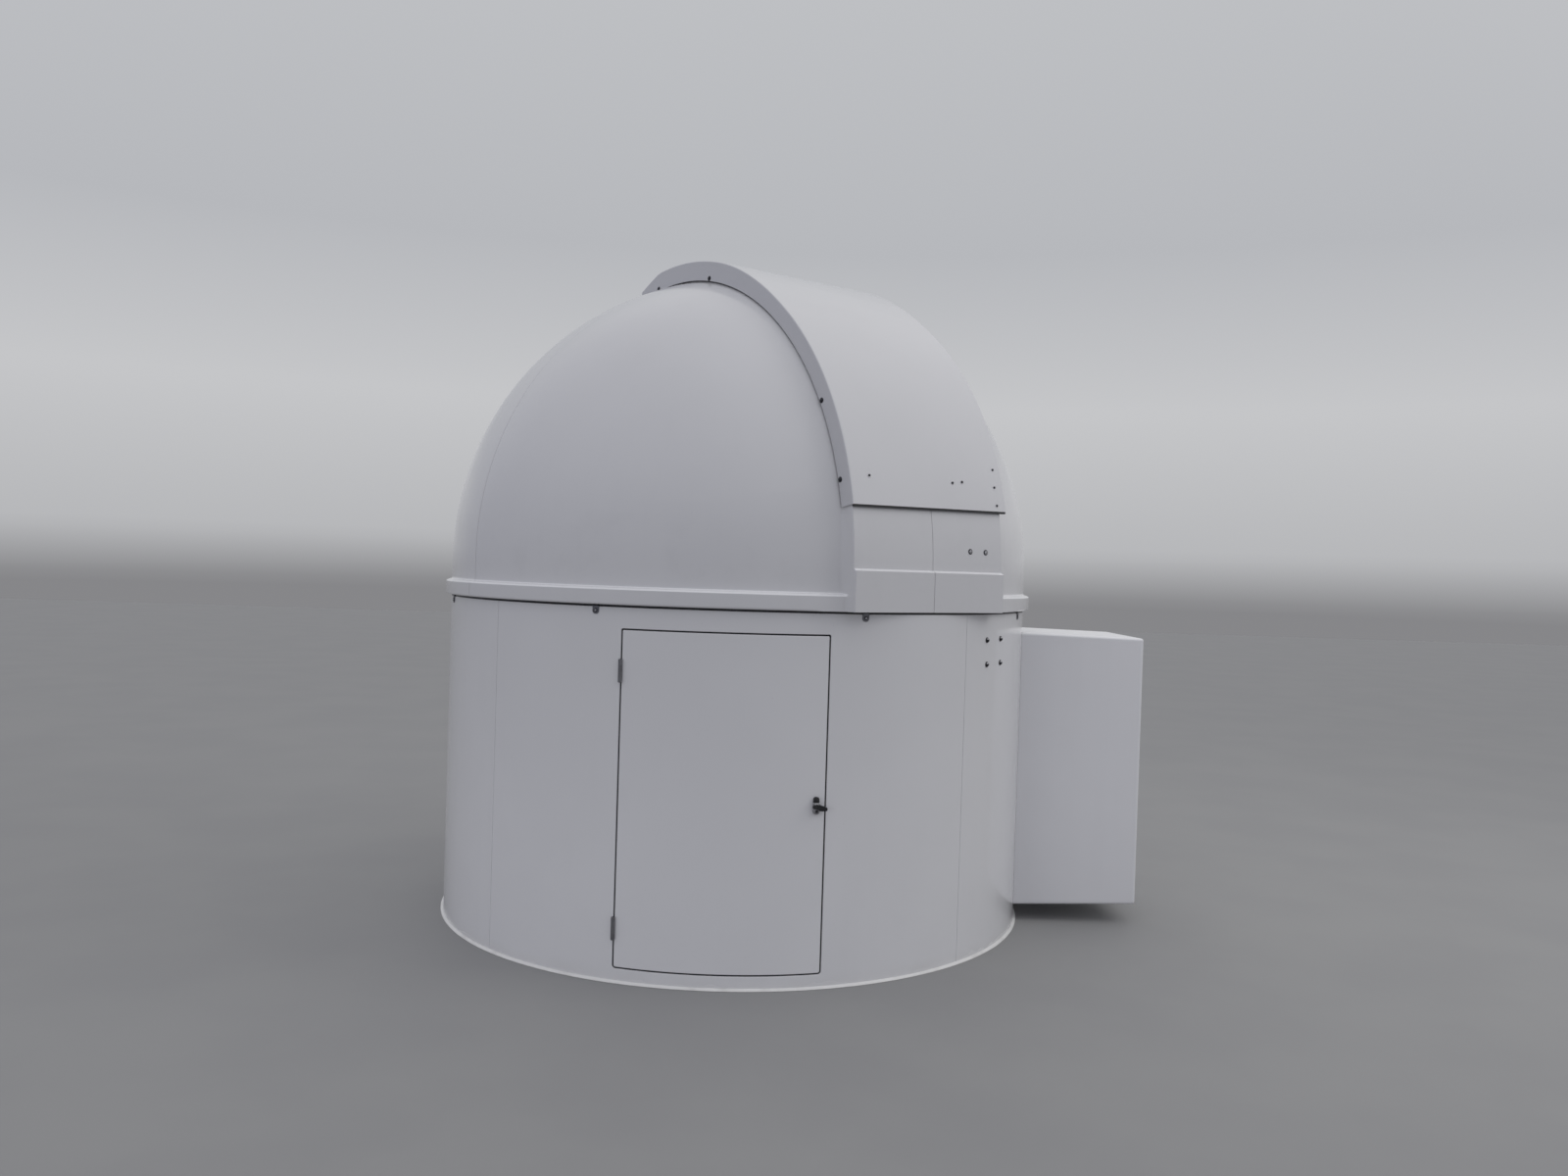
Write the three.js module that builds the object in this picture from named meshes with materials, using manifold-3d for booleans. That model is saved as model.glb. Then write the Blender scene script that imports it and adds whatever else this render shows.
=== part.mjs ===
// A full-height observatory dome in glass-fibre mouldings, in millimetres with +Z up.
// A round wall with a hinged door and a raised bay carries a dome that turns on eight rollers.
// The dome has a slit, closed below by a fixed panel and above by a shutter that slides over the top.
// A bearing is an angle round the vertical axis, counted from the front (-Y) towards the bay (+X).
import * as THREE from "three";
import { mergeVertices } from "three/addons/utils/BufferGeometryUtils.js";
import Module from "manifold-3d";

const wasm = await Module();
wasm.setup();

// Driving dimensions of the whole object
const bayOuterFace = 1840;
const skirtRadius = 1344;
const domeAxisX = (skirtRadius - bayOuterFace) / 2;
const fitGap = 0.3;
const seamGap = 0.8;
const movingGap = 5.2;
const shell = 6;

// Wall
const wallRadius = 1320;
const wallTop = 1398;
const wallRingInner = 1262;
const wallRingThickness = 8;
const wallFacet = 4.5;
const sealWidth = 17;
const sealHeight = 14;
const sealLift = 0.4;

// Doorway, as bearings and heights
const doorwayLeft = -17.83;
const doorwayRight = 16.58;
const doorwayBottom = 52;
const doorwayTop = 1320;
const doorGap = 6;
const doorThickness = 22;
const stopInner = 1284;
const stopOuter = 1291;
const stopReach = 20;

// Door hinges and handle
const hingeRadius = 1328;
const hingeHeight = 86;
const hingeCentres = { lower: 203, upper: 1163 };
const knuckleRadius = 7;
const hingePinRadius = 3;
const leafThickness = 2.3;
const leafReach = 24;
const leafInset = 0.4;
const barrelGap = 0.5;
const handleBearing = 14.8;
const handleHeight = 683;
const handleSeat = 0.8;
const handleHalfWidth = 10;
const handleTop = 35;
const handleThickness = 12;
const lockCentre = -18;
const lockRadius = 6.5;
const lockProud = 2;

// Latch lever, its spindle and the knob inside the door
const leverSeat = 13.3;
const leverHubRadius = 9;
const leverHubLength = 13;
const leverArmTail = -17;
const leverArmTip = 41;
const leverArmHalfHeight = 8;
const leverArmInner = 4;
const leverArmOuter = 12;
const spindleRadius = 5;
const spindleHoleRadius = 6.5;
const knobRadius = 12;
const knobGap = 1.5;
const knobThickness = 11.5;

// Bay on the right-hand quadrant
const bayHalfWidth = 300;
const bayBottom = 72;
const bayTop = 1294;
const bayCornerRadius = 12;
const bayBuriedDepth = 72;
const bayOpeningHalfWidth = 260;
const bayOpeningBottom = 100;
const bayOpeningTop = 1260;

// Dome
const domeRadius = 1319.3;
const domeCentre = 1569;
const domeFacet = 6;
const slitBearing = 36;
const trackUnderside = 1452;
const trackThickness = 8;
const trackInner = 1235;
const seamCutSize = 2000;
const skirtBottom = 1407;
const skirtShoulder = 1458;
const skirtTop = 1468;
const skirtThickness = 5;
const skirtShoulderStep = 6;

// Slit, its fixed panel and its upstands; an elevation is counted from the slit's horizon up and over
const slitHalfWidth = 388;
const slitRearPlane = -160;
const panelFoot = 1321.5;
const panelLedge = 1563;
const panelRadius = 1314;
const panelTopElevation = 13.5;
const panelLedgeRise = 7;
const panelReturnSetback = 55;
const panelFootRelief = 9.5;
const slitRearLipDepth = 30;
const upstandTop = 1306;
const upstandBottom = 1250;
const upstandEndElevation = 97;
const stripBottom = 1262;
const stripTop = 1266.2;
const stripWidth = 8.6;
const stripStartElevation = 13.6;
const stripEndElevation = 181;

// Shutter
const shutterHalfWidth = 408;
const shutterFrontElevation = 10.3;
const shutterRearElevation = 103.2;
const shutterSlopeStart = 96.5;
const shutterSlopeDrop = 11;
const shutterFrontRadius = 1330;
const shutterCrownLift = 17;
const shutterLiftStart = 50;
const shutterLiftEnd = 75;
const shutterPlate = 5;
const shutterCorner = 9;
const shutterTurnDown = 16;
const shutterInnerCorner = 2;
const shutterSkirtRadius = 1262;
const shutterLipRadius = 1326.6;
const shutterLipOverlap = 4;
const shutterLipCorner = 6;
const guideRollerRadius = 11;
const guideRollerPath = 1277.5;
const guideRollerElevations = [15, 30, 77, 96.4];

// Hold-down clips with the rollers that carry the dome
const clipCount = 8;
const clipWidth = 27;
const clipThickness = 3;
const clipDrop = 28;
const clipUprightInner = 1287;
const carrierRollerRadius = 19;
const carrierRollerWidth = 22;
const rollerSideGap = 3;
const axleRadius = 5;
const axleEnd = 4;

const radians = THREE.MathUtils.degToRad;

// A point at a radius, bearing and height
function atBearing(radius, bearing, height) {
  const angle = radians(bearing);
  return new THREE.Vector3(radius * Math.sin(angle), -radius * Math.cos(angle), height);
}

// The radius of a faceted round wall at a bearing, so that every cut end lies on the same facets
function facetedRadius(radius, bearing, facet) {
  const middle = (Math.floor(bearing / facet) + 0.5) * facet;
  return (radius * Math.cos(radians(facet / 2))) / Math.cos(radians(bearing - middle));
}

// Evenly spaced multiples of a step between two values, with both values as ends
function stationsBetween(start, end, step) {
  const stations = [start];
  for (let index = Math.ceil(start / step); index * step < end; index += 1) {
    const value = index * step;
    if (value - start > step * 0.1 && end - value > step * 0.1) {
      stations.push(value);
    }
  }
  stations.push(end);
  return stations;
}

// A closed geometry turned into a solid that can be joined and cut
function solidOf(geometry) {
  const bare = new THREE.BufferGeometry();
  bare.setAttribute("position", geometry.getAttribute("position").clone());
  if (geometry.index) {
    bare.setIndex(geometry.index.clone());
  }
  const merged = mergeVertices(bare, 1e-4);
  const places = merged.getAttribute("position").array;
  const corners = [];
  const index = merged.index.array;
  for (let start = 0; start < index.length; start += 3) {
    const [a, b, c] = index.slice(start, start + 3);
    if (a !== b && b !== c && c !== a) {
      corners.push(a, b, c);
    }
  }
  if (volumeOf(places, corners) < 0) {
    corners.reverse();
  }
  const mesh = new wasm.Mesh({
    numProp: 3,
    vertProperties: Float32Array.from(places),
    triVerts: Uint32Array.from(corners),
  });
  return new wasm.Manifold(mesh);
}

// Six times the signed volume inside a triangle mesh
function volumeOf(places, corners) {
  const point = (index) => new THREE.Vector3().fromArray(places, index * 3);
  let volume = 0;
  for (let start = 0; start < corners.length; start += 3) {
    const [a, b, c] = [point(corners[start]), point(corners[start + 1]), point(corners[start + 2])];
    volume += a.dot(b.cross(c));
  }
  return volume;
}

function geometryOf(solid) {
  const mesh = solid.getMesh();
  const geometry = new THREE.BufferGeometry();
  geometry.setAttribute("position", new THREE.BufferAttribute(Float32Array.from(mesh.vertProperties), 3));
  geometry.setIndex(new THREE.BufferAttribute(Uint32Array.from(mesh.triVerts), 1));
  geometry.computeVertexNormals();
  return geometry;
}

// A solid through a row of like outlines, capped with the first outline's triangles
function loft(sections, outline) {
  if (THREE.ShapeUtils.isClockWise(outline)) {
    const turnedRound = sections.map((section) => section.slice().reverse());
    return loft(turnedRound, outline.slice().reverse());
  }
  const size = outline.length;
  const corners = [];
  const last = (sections.length - 1) * size;
  for (const [a, b, c] of THREE.ShapeUtils.triangulateShape(outline, [])) {
    corners.push(a, b, c);
    corners.push(last + a, last + c, last + b);
  }
  for (let section = 0; section < sections.length - 1; section += 1) {
    for (let edge = 0; edge < size; edge += 1) {
      const a = section * size + edge;
      const b = section * size + ((edge + 1) % size);
      corners.push(a, a + size, b + size);
      corners.push(a, b + size, b);
    }
  }
  const geometry = new THREE.BufferGeometry();
  geometry.setFromPoints(sections.flat());
  geometry.setIndex(corners);
  return solidOf(geometry);
}

// An outline of radius and height swept round the vertical axis from one bearing to another
function sweptRound(outline, start, end, facet) {
  const points = outline.map(([radius, height]) => new THREE.Vector2(radius, height));
  const sections = stationsBetween(start, end, facet).map((bearing) =>
    points.map((point) => atBearing(facetedRadius(point.x, bearing, facet), bearing, point.y)));
  return loft(sections, points);
}

// A closed outline of radius and height turned all the way round the vertical axis
function turned(outline, segments) {
  const points = outline.map(([radius, height]) => new THREE.Vector2(radius, height));
  return solidOf(new THREE.LatheGeometry(points, segments).rotateX(Math.PI / 2));
}

// An outline of lateral place and radius swept up and over the slit, in the slit's own frame
function sweptOver(outlineAt, start, end, step) {
  const stations = stationsBetween(start, end, step);
  const sections = stations.map((elevation) =>
    outlineAt(elevation).map(([lateral, radius]) => overSlit(radius, lateral, elevation)));
  const points = outlineAt(start).map(([lateral, radius]) => new THREE.Vector2(lateral, radius));
  return loft(sections, points);
}

// A point over the slit: +X is the slit's direction, +Y is to its right seen from outside
function overSlit(radius, lateral, elevation) {
  const angle = radians(elevation);
  return new THREE.Vector3(radius * Math.cos(angle), lateral, domeCentre + radius * Math.sin(angle));
}

function block(low, high) {
  const size = high.map((value, axis) => value - low[axis]);
  const box = new THREE.BoxGeometry(...size);
  box.translate(...low.map((value, axis) => value + size[axis] / 2));
  return solidOf(box);
}

function rod(radius, low, high, sides = 16) {
  const cylinder = new THREE.CylinderGeometry(radius, radius, high - low, sides);
  cylinder.rotateX(Math.PI / 2);
  cylinder.translate(0, 0, (low + high) / 2);
  return solidOf(cylinder);
}

// A rod along the local X, which points out of the wall
function lyingRod(radius, low, high, sides = 16) {
  return rod(radius, low, high, sides).rotate([0, 90, 0]);
}

// A solid made in a local frame (X outward, Y along the wall, Z up) and set on the wall at a bearing
function setOnWall(solid, radius, bearing, height) {
  const place = atBearing(radius, bearing, height);
  return solid.rotate([0, 0, bearing - 90]).translate([place.x, place.y, place.z]);
}

const finishes = {
  gelcoat: { color: 0xeeeef1, roughness: 0.22, metalness: 0 },
  sealant: { color: 0xf3f3f2, roughness: 0.5, metalness: 0 },
  steel: { color: 0x8d9095, roughness: 0.38, metalness: 0.9 },
  black: { color: 0x1b1b1d, roughness: 0.45, metalness: 0 },
};

function piece(name, solid, finish) {
  const mesh = new THREE.Mesh(geometryOf(solid), new THREE.MeshStandardMaterial(finishes[finish]));
  mesh.name = name;
  return mesh;
}

// Half a seam's width at the wall, as an angle
const halfSeam = THREE.MathUtils.radToDeg(seamGap / 2 / wallRadius);
const fitAngle = THREE.MathUtils.radToDeg(fitGap / wallRadius);
const jambAngle = THREE.MathUtils.radToDeg(shell / wallRadius);
const stopAngle = THREE.MathUtils.radToDeg(stopReach / wallRadius);
const wallInner = wallRadius - shell;
const domeInner = domeRadius - shell;

function rectangle(inner, outer, low, high) {
  return [
    [inner, low],
    [outer, low],
    [outer, high],
    [inner, high],
  ];
}

// The wall beside the doorway, with the return round its edge and the stop that the door closes on
function wallBesideDoor(start, end, doorwaySide) {
  const edge = doorwaySide > 0 ? end : start;
  const between = (first, second, outline) => {
    const bearings = [edge + doorwaySide * first, edge + doorwaySide * second];
    return sweptRound(outline, Math.min(...bearings), Math.max(...bearings), wallFacet);
  };
  const recess = jambAngle / 20;
  const jambFoot = wallRingThickness + fitGap;
  const jambHead = wallTop - wallRingThickness - fitGap;
  const jamb = between(
    -jambAngle, -recess, rectangle(stopInner, wallInner + shell / 2, jambFoot, jambHead));
  const stopFoot = doorwayBottom + stopReach + fitGap;
  const stopHead = doorwayTop - stopReach - fitGap;
  const stop = between(
    -jambAngle / 2, stopAngle, rectangle(stopInner + recess, stopOuter, stopFoot, stopHead));
  const wall = sweptRound(rectangle(wallInner, wallRadius, 0, wallTop), start, end, wallFacet);
  return wall.add(jamb).add(stop);
}

function doorLintel() {
  const outline = [
    [wallRadius, doorwayTop],
    [wallRadius, wallTop],
    [wallInner, wallTop],
    [wallInner, doorwayTop + shell],
    [stopInner, doorwayTop + shell],
    [stopInner, doorwayTop - stopReach],
    [stopOuter, doorwayTop - stopReach],
    [stopOuter, doorwayTop],
  ];
  return sweptRound(outline, doorwayLeft + fitAngle, doorwayRight - fitAngle, wallFacet);
}

function doorSill() {
  const outline = [
    [wallRadius, 0],
    [wallRadius, doorwayBottom],
    [stopOuter, doorwayBottom],
    [stopOuter, doorwayBottom + stopReach],
    [stopInner, doorwayBottom + stopReach],
    [stopInner, doorwayBottom - shell],
    [wallInner, doorwayBottom - shell],
    [wallInner, 0],
  ];
  return sweptRound(outline, doorwayLeft + fitAngle, doorwayRight - fitAngle, wallFacet);
}

function wallPieces() {
  const group = new THREE.Group();
  const openingHalf = THREE.MathUtils.radToDeg(Math.asin(bayOpeningHalfWidth / wallRadius));
  const bayStart = 90 - openingHalf;
  const bayEnd = 90 + openingHalf;
  const wallBetween = (start, end, low, high) =>
    sweptRound(rectangle(wallInner, wallRadius, low, high), start, end, wallFacet);
  const full = (start, end) => wallBetween(start, end, 0, wallTop);
  const overOpening = wallBetween(bayStart + fitAngle, bayEnd - fitAngle, bayOpeningTop, wallTop);
  const underOpening = wallBetween(bayStart + fitAngle, bayEnd - fitAngle, 0, bayOpeningBottom);
  group.add(
    piece("front_wall_left", wallBesideDoor(-45 + halfSeam, doorwayLeft, 1), "gelcoat"),
    piece("front_wall_right", wallBesideDoor(doorwayRight, 45 - halfSeam, -1), "gelcoat"),
    piece("front_wall_lintel", doorLintel(), "gelcoat"),
    piece("front_wall_sill", doorSill(), "gelcoat"),
    piece("right_wall_front", full(45 + halfSeam, bayStart), "gelcoat"),
    piece("right_wall_rear", full(bayEnd, 135 - halfSeam), "gelcoat"),
    piece("right_wall_over_bay", overOpening, "gelcoat"),
    piece("right_wall_under_bay", underOpening, "gelcoat"),
    piece("rear_wall", full(135 + halfSeam, 225 - halfSeam), "gelcoat"),
    piece("left_wall", full(225 + halfSeam, 315 - halfSeam), "gelcoat"),
    piece("wall_head_ring", wallRing(wallTop - wallRingThickness), "gelcoat"),
    piece("wall_foot_ring", wallRing(0), "gelcoat"),
    piece("base_seal", baseSeal(), "sealant"),
    piece("bay_shell", bayShell(), "gelcoat"),
  );
  for (let number = 1; number <= clipCount; number += 1) {
    const bearing = ((number - 0.5) * 360) / clipCount;
    group.add(piece(`hold_down_clip_${number}`, holdDownClip(bearing), "steel"));
  }
  return group;
}

// A flat ring inside the wall, which stiffens its head or its foot
function wallRing(low) {
  const outline = rectangle(wallRingInner, wallInner - fitGap, low, low + wallRingThickness);
  return turned(outline.concat([outline[0]]), 360 / wallFacet);
}

// A bead of sealant in the corner between the wall and what it stands on
function baseSeal() {
  const inner = wallRadius + fitGap;
  const outline = [
    [inner, sealLift],
    [inner + sealWidth, sealLift],
    [inner, sealLift + sealHeight],
    [inner, sealLift],
  ];
  return turned(outline, 360 / wallFacet);
}

// A hollow box moulding with rounded edges, open towards the wall
function bayShell() {
  const roundedBox = (inset) => {
    const halfWidth = bayHalfWidth - inset;
    const low = bayBottom + inset;
    const high = bayTop - inset;
    const round = bayCornerRadius - inset;
    const shape = new THREE.Shape();
    shape.moveTo(-halfWidth + round, low);
    shape.lineTo(halfWidth - round, low);
    shape.absarc(halfWidth - round, low + round, round, -Math.PI / 2, 0, false);
    shape.absarc(halfWidth - round, high - round, round, 0, Math.PI / 2, false);
    shape.absarc(-halfWidth + round, high - round, round, Math.PI / 2, Math.PI, false);
    shape.absarc(-halfWidth + round, low + round, round, Math.PI, Math.PI * 1.5, false);
    const inside = wallRadius - bayBuriedDepth;
    const outside = bayOuterFace - inset;
    const box = new THREE.ExtrudeGeometry(shape, {
      depth: outside - inside - round * 2,
      curveSegments: 3,
      bevelEnabled: true,
      bevelThickness: round,
      bevelSize: round * 0.9,
      bevelOffset: -round * 0.9,
      bevelSegments: 2,
    });
    box.rotateX(Math.PI / 2);
    box.rotateZ(Math.PI / 2);
    box.translate(inside + round, 0, 0);
    return solidOf(box);
  };
  const roundWall = turned(
    [[0, 0], [wallRadius + fitGap, 0], [wallRadius + fitGap, wallTop], [0, wallTop]], 360 / wallFacet);
  return roundedBox(0).subtract(roundedBox(shell)).subtract(roundWall);
}

// A tab on the wall's outside, bent over the wall's top, with the upright and roller that carry the dome
function holdDownClip(bearing) {
  const half = clipWidth / 2;
  const tabInner = wallRadius + fitGap;
  const bridgeLow = wallTop + fitGap;
  const bridgeHigh = bridgeLow + clipThickness;
  const tab = block([tabInner, -half, wallTop - clipDrop], [tabInner + clipThickness, half, bridgeHigh]);
  const bridge = block([clipUprightInner, -half, bridgeLow], [tabInner + 1, half, bridgeHigh]);
  const rollerTop = trackUnderside - fitGap;
  const rollerCentre = rollerTop - carrierRollerRadius;
  const upright = block(
    [clipUprightInner, -half, bridgeLow], [clipUprightInner + clipThickness, half, rollerCentre + half / 2]);
  const rollerOuter = clipUprightInner - rollerSideGap;
  const roller = lyingRod(carrierRollerRadius, rollerOuter - carrierRollerWidth, rollerOuter);
  const axle = lyingRod(axleRadius, rollerOuter - carrierRollerWidth - axleEnd, clipUprightInner + 1, 8);
  const wheel = roller.add(axle).translate([0, 0, rollerCentre]);
  return tab.add(bridge).add(upright).add(wheel).rotate([0, 0, bearing - 90]);
}

// The door panel, flush with the wall, with the hole for the latch spindle
function doorPanel() {
  const gapAngle = THREE.MathUtils.radToDeg(doorGap / wallRadius);
  const slab = sweptRound(
    rectangle(wallRadius - doorThickness, wallRadius, doorwayBottom + doorGap, doorwayTop - doorGap),
    doorwayLeft + gapAngle, doorwayRight - gapAngle, wallFacet);
  const bore = lyingRod(spindleHoleRadius, -2 * doorThickness, doorThickness);
  return slab.subtract(setOnWall(bore, wallRadius, handleBearing, handleHeight));
}

// One hinge at the doorway's left edge: the wall leaf holds the pin, the door leaf turns round it
function hingeLeaf(side, centreHeight) {
  const third = hingeHeight / 3;
  const leafLow = side < 0 ? -leafInset - leafThickness : leafInset;
  const leaf = block(
    [-leafReach, leafLow, -hingeHeight / 2], [0, leafLow + leafThickness, hingeHeight / 2]);
  let solid;
  if (side < 0) {
    const clear = rod(knuckleRadius + barrelGap, -third / 2 - barrelGap, third / 2 + barrelGap);
    solid = leaf.subtract(clear)
      .add(rod(knuckleRadius, third / 2 + barrelGap, hingeHeight / 2))
      .add(rod(knuckleRadius, -hingeHeight / 2, -third / 2 - barrelGap))
      .add(rod(hingePinRadius, -hingeHeight / 2, hingeHeight / 2));
  } else {
    const clearance = (low, high) => rod(knuckleRadius + barrelGap, low, high);
    solid = leaf
      .subtract(clearance(third / 2, hingeHeight / 2 + 1))
      .subtract(clearance(-hingeHeight / 2 - 1, -third / 2))
      .add(rod(knuckleRadius, -third / 2, third / 2))
      .subtract(rod(hingePinRadius + fitGap, -hingeHeight, hingeHeight));
  }
  const bearing = doorwayLeft + THREE.MathUtils.radToDeg(doorGap / 2 / wallRadius);
  return setOnWall(solid, hingeRadius, bearing, centreHeight);
}

// An upright plate on the door with a lock cylinder at its foot and a hole for the spindle
function handleBody() {
  const face = handleSeat + handleThickness;
  const plate = block(
    [handleSeat, -handleHalfWidth, lockCentre], [face, handleHalfWidth, handleTop]);
  const roundFoot = lyingRod(handleHalfWidth, handleSeat, face, 24).translate([0, 0, lockCentre]);
  const cylinder = lyingRod(lockRadius, handleSeat, face + lockProud).translate([0, 0, lockCentre]);
  const bore = lyingRod(spindleHoleRadius, 0, face + 1);
  const solid = plate.add(roundFoot).add(cylinder).subtract(bore);
  return setOnWall(solid, wallRadius, handleBearing, handleHeight);
}

// The lever on the door's outside, its spindle through the door and the knob inside
function latchLever() {
  const hub = lyingRod(leverHubRadius, leverSeat, leverSeat + leverHubLength, 20);
  const arm = block(
    [leverSeat + leverArmInner, leverArmTail, -leverArmHalfHeight],
    [leverSeat + leverArmOuter, leverArmTip, leverArmHalfHeight]);
  const knobFace = -doorThickness - knobGap;
  const spindle = lyingRod(spindleRadius, knobFace - 1, leverSeat + 1, 12);
  const knob = lyingRod(knobRadius, knobFace - knobThickness, knobFace, 20);
  return setOnWall(hub.add(arm).add(spindle).add(knob), wallRadius, handleBearing, handleHeight);
}

function doorPieces() {
  const group = new THREE.Group();
  group.add(piece("door_panel", doorPanel(), "gelcoat"));
  for (const [place, height] of Object.entries(hingeCentres)) {
    group.add(piece(`hinge_${place}_wall_leaf`, hingeLeaf(-1, height), "steel"));
    group.add(piece(`hinge_${place}_door_leaf`, hingeLeaf(1, height), "steel"));
  }
  group.add(piece("handle_body", handleBody(), "steel"));
  group.add(piece("latch_lever", latchLever(), "black"));
  return group;
}

// Points on an upright arc about the dome's centre, as radius from the axis and height
function domeArc(radius, start, end, step) {
  const points = [];
  const count = Math.round(Math.abs(end - start) / step);
  for (let index = 0; index <= count; index += 1) {
    const angle = radians(start + ((end - start) * index) / count);
    points.push([radius * Math.cos(angle), domeCentre + radius * Math.sin(angle)]);
  }
  return points;
}

// A closed outline turned round the dome's axis on the dome's own facets
function turnedWithDome(outline) {
  return turned(outline, 360 / domeFacet).rotate([0, 0, 90]);
}

// The whole dome shell, before the slit is cut
function wholeDome() {
  const outline = [
    ...domeArc(domeRadius, 90, 0, domeFacet),
    [domeRadius, trackUnderside],
    [domeInner, trackUnderside],
    ...domeArc(domeInner, 0, 90, domeFacet),
  ];
  outline[0][0] = 0;
  outline[outline.length - 1][0] = 0;
  return turnedWithDome(outline);
}

// The flat ring at the dome's foot that runs on the carrier rollers
function trackRing() {
  const outline = rectangle(
    trackInner, domeInner - fitGap, trackUnderside, trackUnderside + trackThickness);
  return turnedWithDome(outline.concat([outline[0]]));
}

// The four quarters of a solid round the slit's frame, each drawn back from its seams
function quarters(solid) {
  const half = seamGap / 2;
  const keep = (front, right) => block(
    [front ? half : -seamCutSize, right ? half : -seamCutSize, 0],
    [front ? seamCutSize : -half, right ? seamCutSize : -half, seamCutSize * 2]);
  return {
    front_left: solid.intersect(keep(true, false)),
    front_right: solid.intersect(keep(true, true)),
    rear_left: solid.intersect(keep(false, false)),
    rear_right: solid.intersect(keep(false, true)),
  };
}

function slitCut() {
  const half = slitHalfWidth + fitGap;
  const rear = slitRearPlane - shell - fitGap;
  const slot = block([rear, -half, skirtTop], [seamCutSize, half, seamCutSize * 2]);
  const behindPanel = block(
    [panelFoot - panelFootRelief, -half, trackUnderside - 1], [seamCutSize, half, skirtTop + 1]);
  return slot.add(behindPanel);
}

function wholeSkirt() {
  const inner = domeRadius + fitGap;
  const outline = [
    [skirtRadius - skirtThickness, skirtBottom],
    [skirtRadius, skirtBottom],
    [skirtRadius, skirtShoulder],
    [inner + skirtShoulderStep, skirtTop],
    [inner, skirtTop],
    [inner, trackUnderside],
    [skirtRadius - skirtThickness, trackUnderside],
    [skirtRadius - skirtThickness, skirtBottom],
  ];
  return turnedWithDome(outline);
}

// One half of the fixed panel: its flat-across face with a ledge, and the return at its side
function frontPanel(side) {
  const aboveLedge = panelLedge + panelLedgeRise - domeCentre;
  const faceOutline = (radius, foot) => [
    [foot, skirtBottom],
    [foot, panelLedge],
    ...overArc(radius, Math.asin(aboveLedge / radius), radians(panelTopElevation)),
  ];
  const outer = faceOutline(panelRadius, panelFoot);
  const inner = faceOutline(panelRadius - shell, panelFoot - shell).reverse();
  const returnFoot = domeRadius - panelReturnSetback;
  const returnBack = [
    ...overArc(upstandBottom, radians(panelTopElevation), 0),
    [upstandBottom, skirtTop + 1],
    [returnFoot, skirtTop + 1],
    [returnFoot, skirtBottom],
  ];
  const edges = [seamGap / 2, slitHalfWidth];
  const face = plateAlong(outer.concat(inner), edges[0], edges[1] - 1);
  const sideReturn = plateAlong(outer.concat(returnBack), edges[1] - shell, edges[1]);
  const half = face.add(sideReturn);
  return side > 0 ? half : half.mirror([0, 1, 0]);
}

// Points on an arc over the slit, as distance along the slit and height
function overArc(radius, start, end) {
  const points = [];
  const count = 6;
  for (let index = 0; index <= count; index += 1) {
    const angle = start + ((end - start) * index) / count;
    points.push([radius * Math.cos(angle), domeCentre + radius * Math.sin(angle)]);
  }
  return points;
}

// An outline of distance and height, extruded sideways across the slit
function plateAlong(outline, low, high) {
  const shape = new THREE.Shape(outline.map(([along, height]) => new THREE.Vector2(along, height)));
  const plate = new THREE.ExtrudeGeometry(shape, { depth: high - low, bevelEnabled: false });
  plate.rotateX(Math.PI / 2);
  plate.translate(0, high, 0);
  return solidOf(plate);
}

// The upstand along one side of the slit, with the strip that the shutter's guide rollers run on
function slitUpstand(side) {
  const outer = slitHalfWidth;
  const wall = sweptOver(
    () => [
      [outer - shell, upstandBottom],
      [outer, upstandBottom],
      [outer, upstandTop],
      [outer - shell, upstandTop],
    ],
    panelTopElevation + 0.05, upstandEndElevation, 3);
  const squareEnd = block([-seamCutSize, 0, 0], [slitRearPlane + fitGap, seamCutSize, seamCutSize * 2]);
  const strip = sweptOver(
    () => [
      [outer - 1, stripBottom],
      [outer + stripWidth, stripBottom],
      [outer + stripWidth, stripTop],
      [outer - 1, stripTop],
    ],
    stripStartElevation, stripEndElevation, 3);
  const solid = wall.subtract(squareEnd).add(strip);
  return side > 0 ? solid : solid.mirror([0, 1, 0]);
}

// The turned-down edge at the rear end of the slit
function slitRearLip() {
  const ball = (radius) => {
    const outline = [...domeArc(radius, 90, 0, domeFacet), [0, domeCentre]];
    outline[0][0] = 0;
    return turnedWithDome(outline);
  };
  const edge = slitHalfWidth - shell - fitGap;
  const slice = block(
    [slitRearPlane - shell, -edge, domeCentre], [slitRearPlane - fitGap, edge, seamCutSize * 2]);
  return ball(domeRadius).subtract(ball(domeRadius - slitRearLipDepth)).intersect(slice);
}

function domePieces() {
  const group = new THREE.Group();
  const shells = quarters(wholeDome().subtract(slitCut()));
  const skirtCut = block(
    [0, -slitHalfWidth - fitGap, 0], [seamCutSize, slitHalfWidth + fitGap, seamCutSize]);
  const skirts = quarters(wholeSkirt().subtract(skirtCut));
  for (const name of Object.keys(shells)) {
    group.add(piece(`dome_${name}`, shells[name], "gelcoat"));
    group.add(piece(`skirt_${name}`, skirts[name], "gelcoat"));
  }
  group.add(
    piece("track_ring", trackRing(), "gelcoat"),
    piece("slit_panel_left", frontPanel(-1), "gelcoat"),
    piece("slit_panel_right", frontPanel(1), "gelcoat"),
    piece("slit_upstand_left", slitUpstand(-1), "gelcoat"),
    piece("slit_upstand_right", slitUpstand(1), "gelcoat"),
    piece("slit_rear_lip", slitRearLip(), "gelcoat"),
  );
  return group;
}

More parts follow.
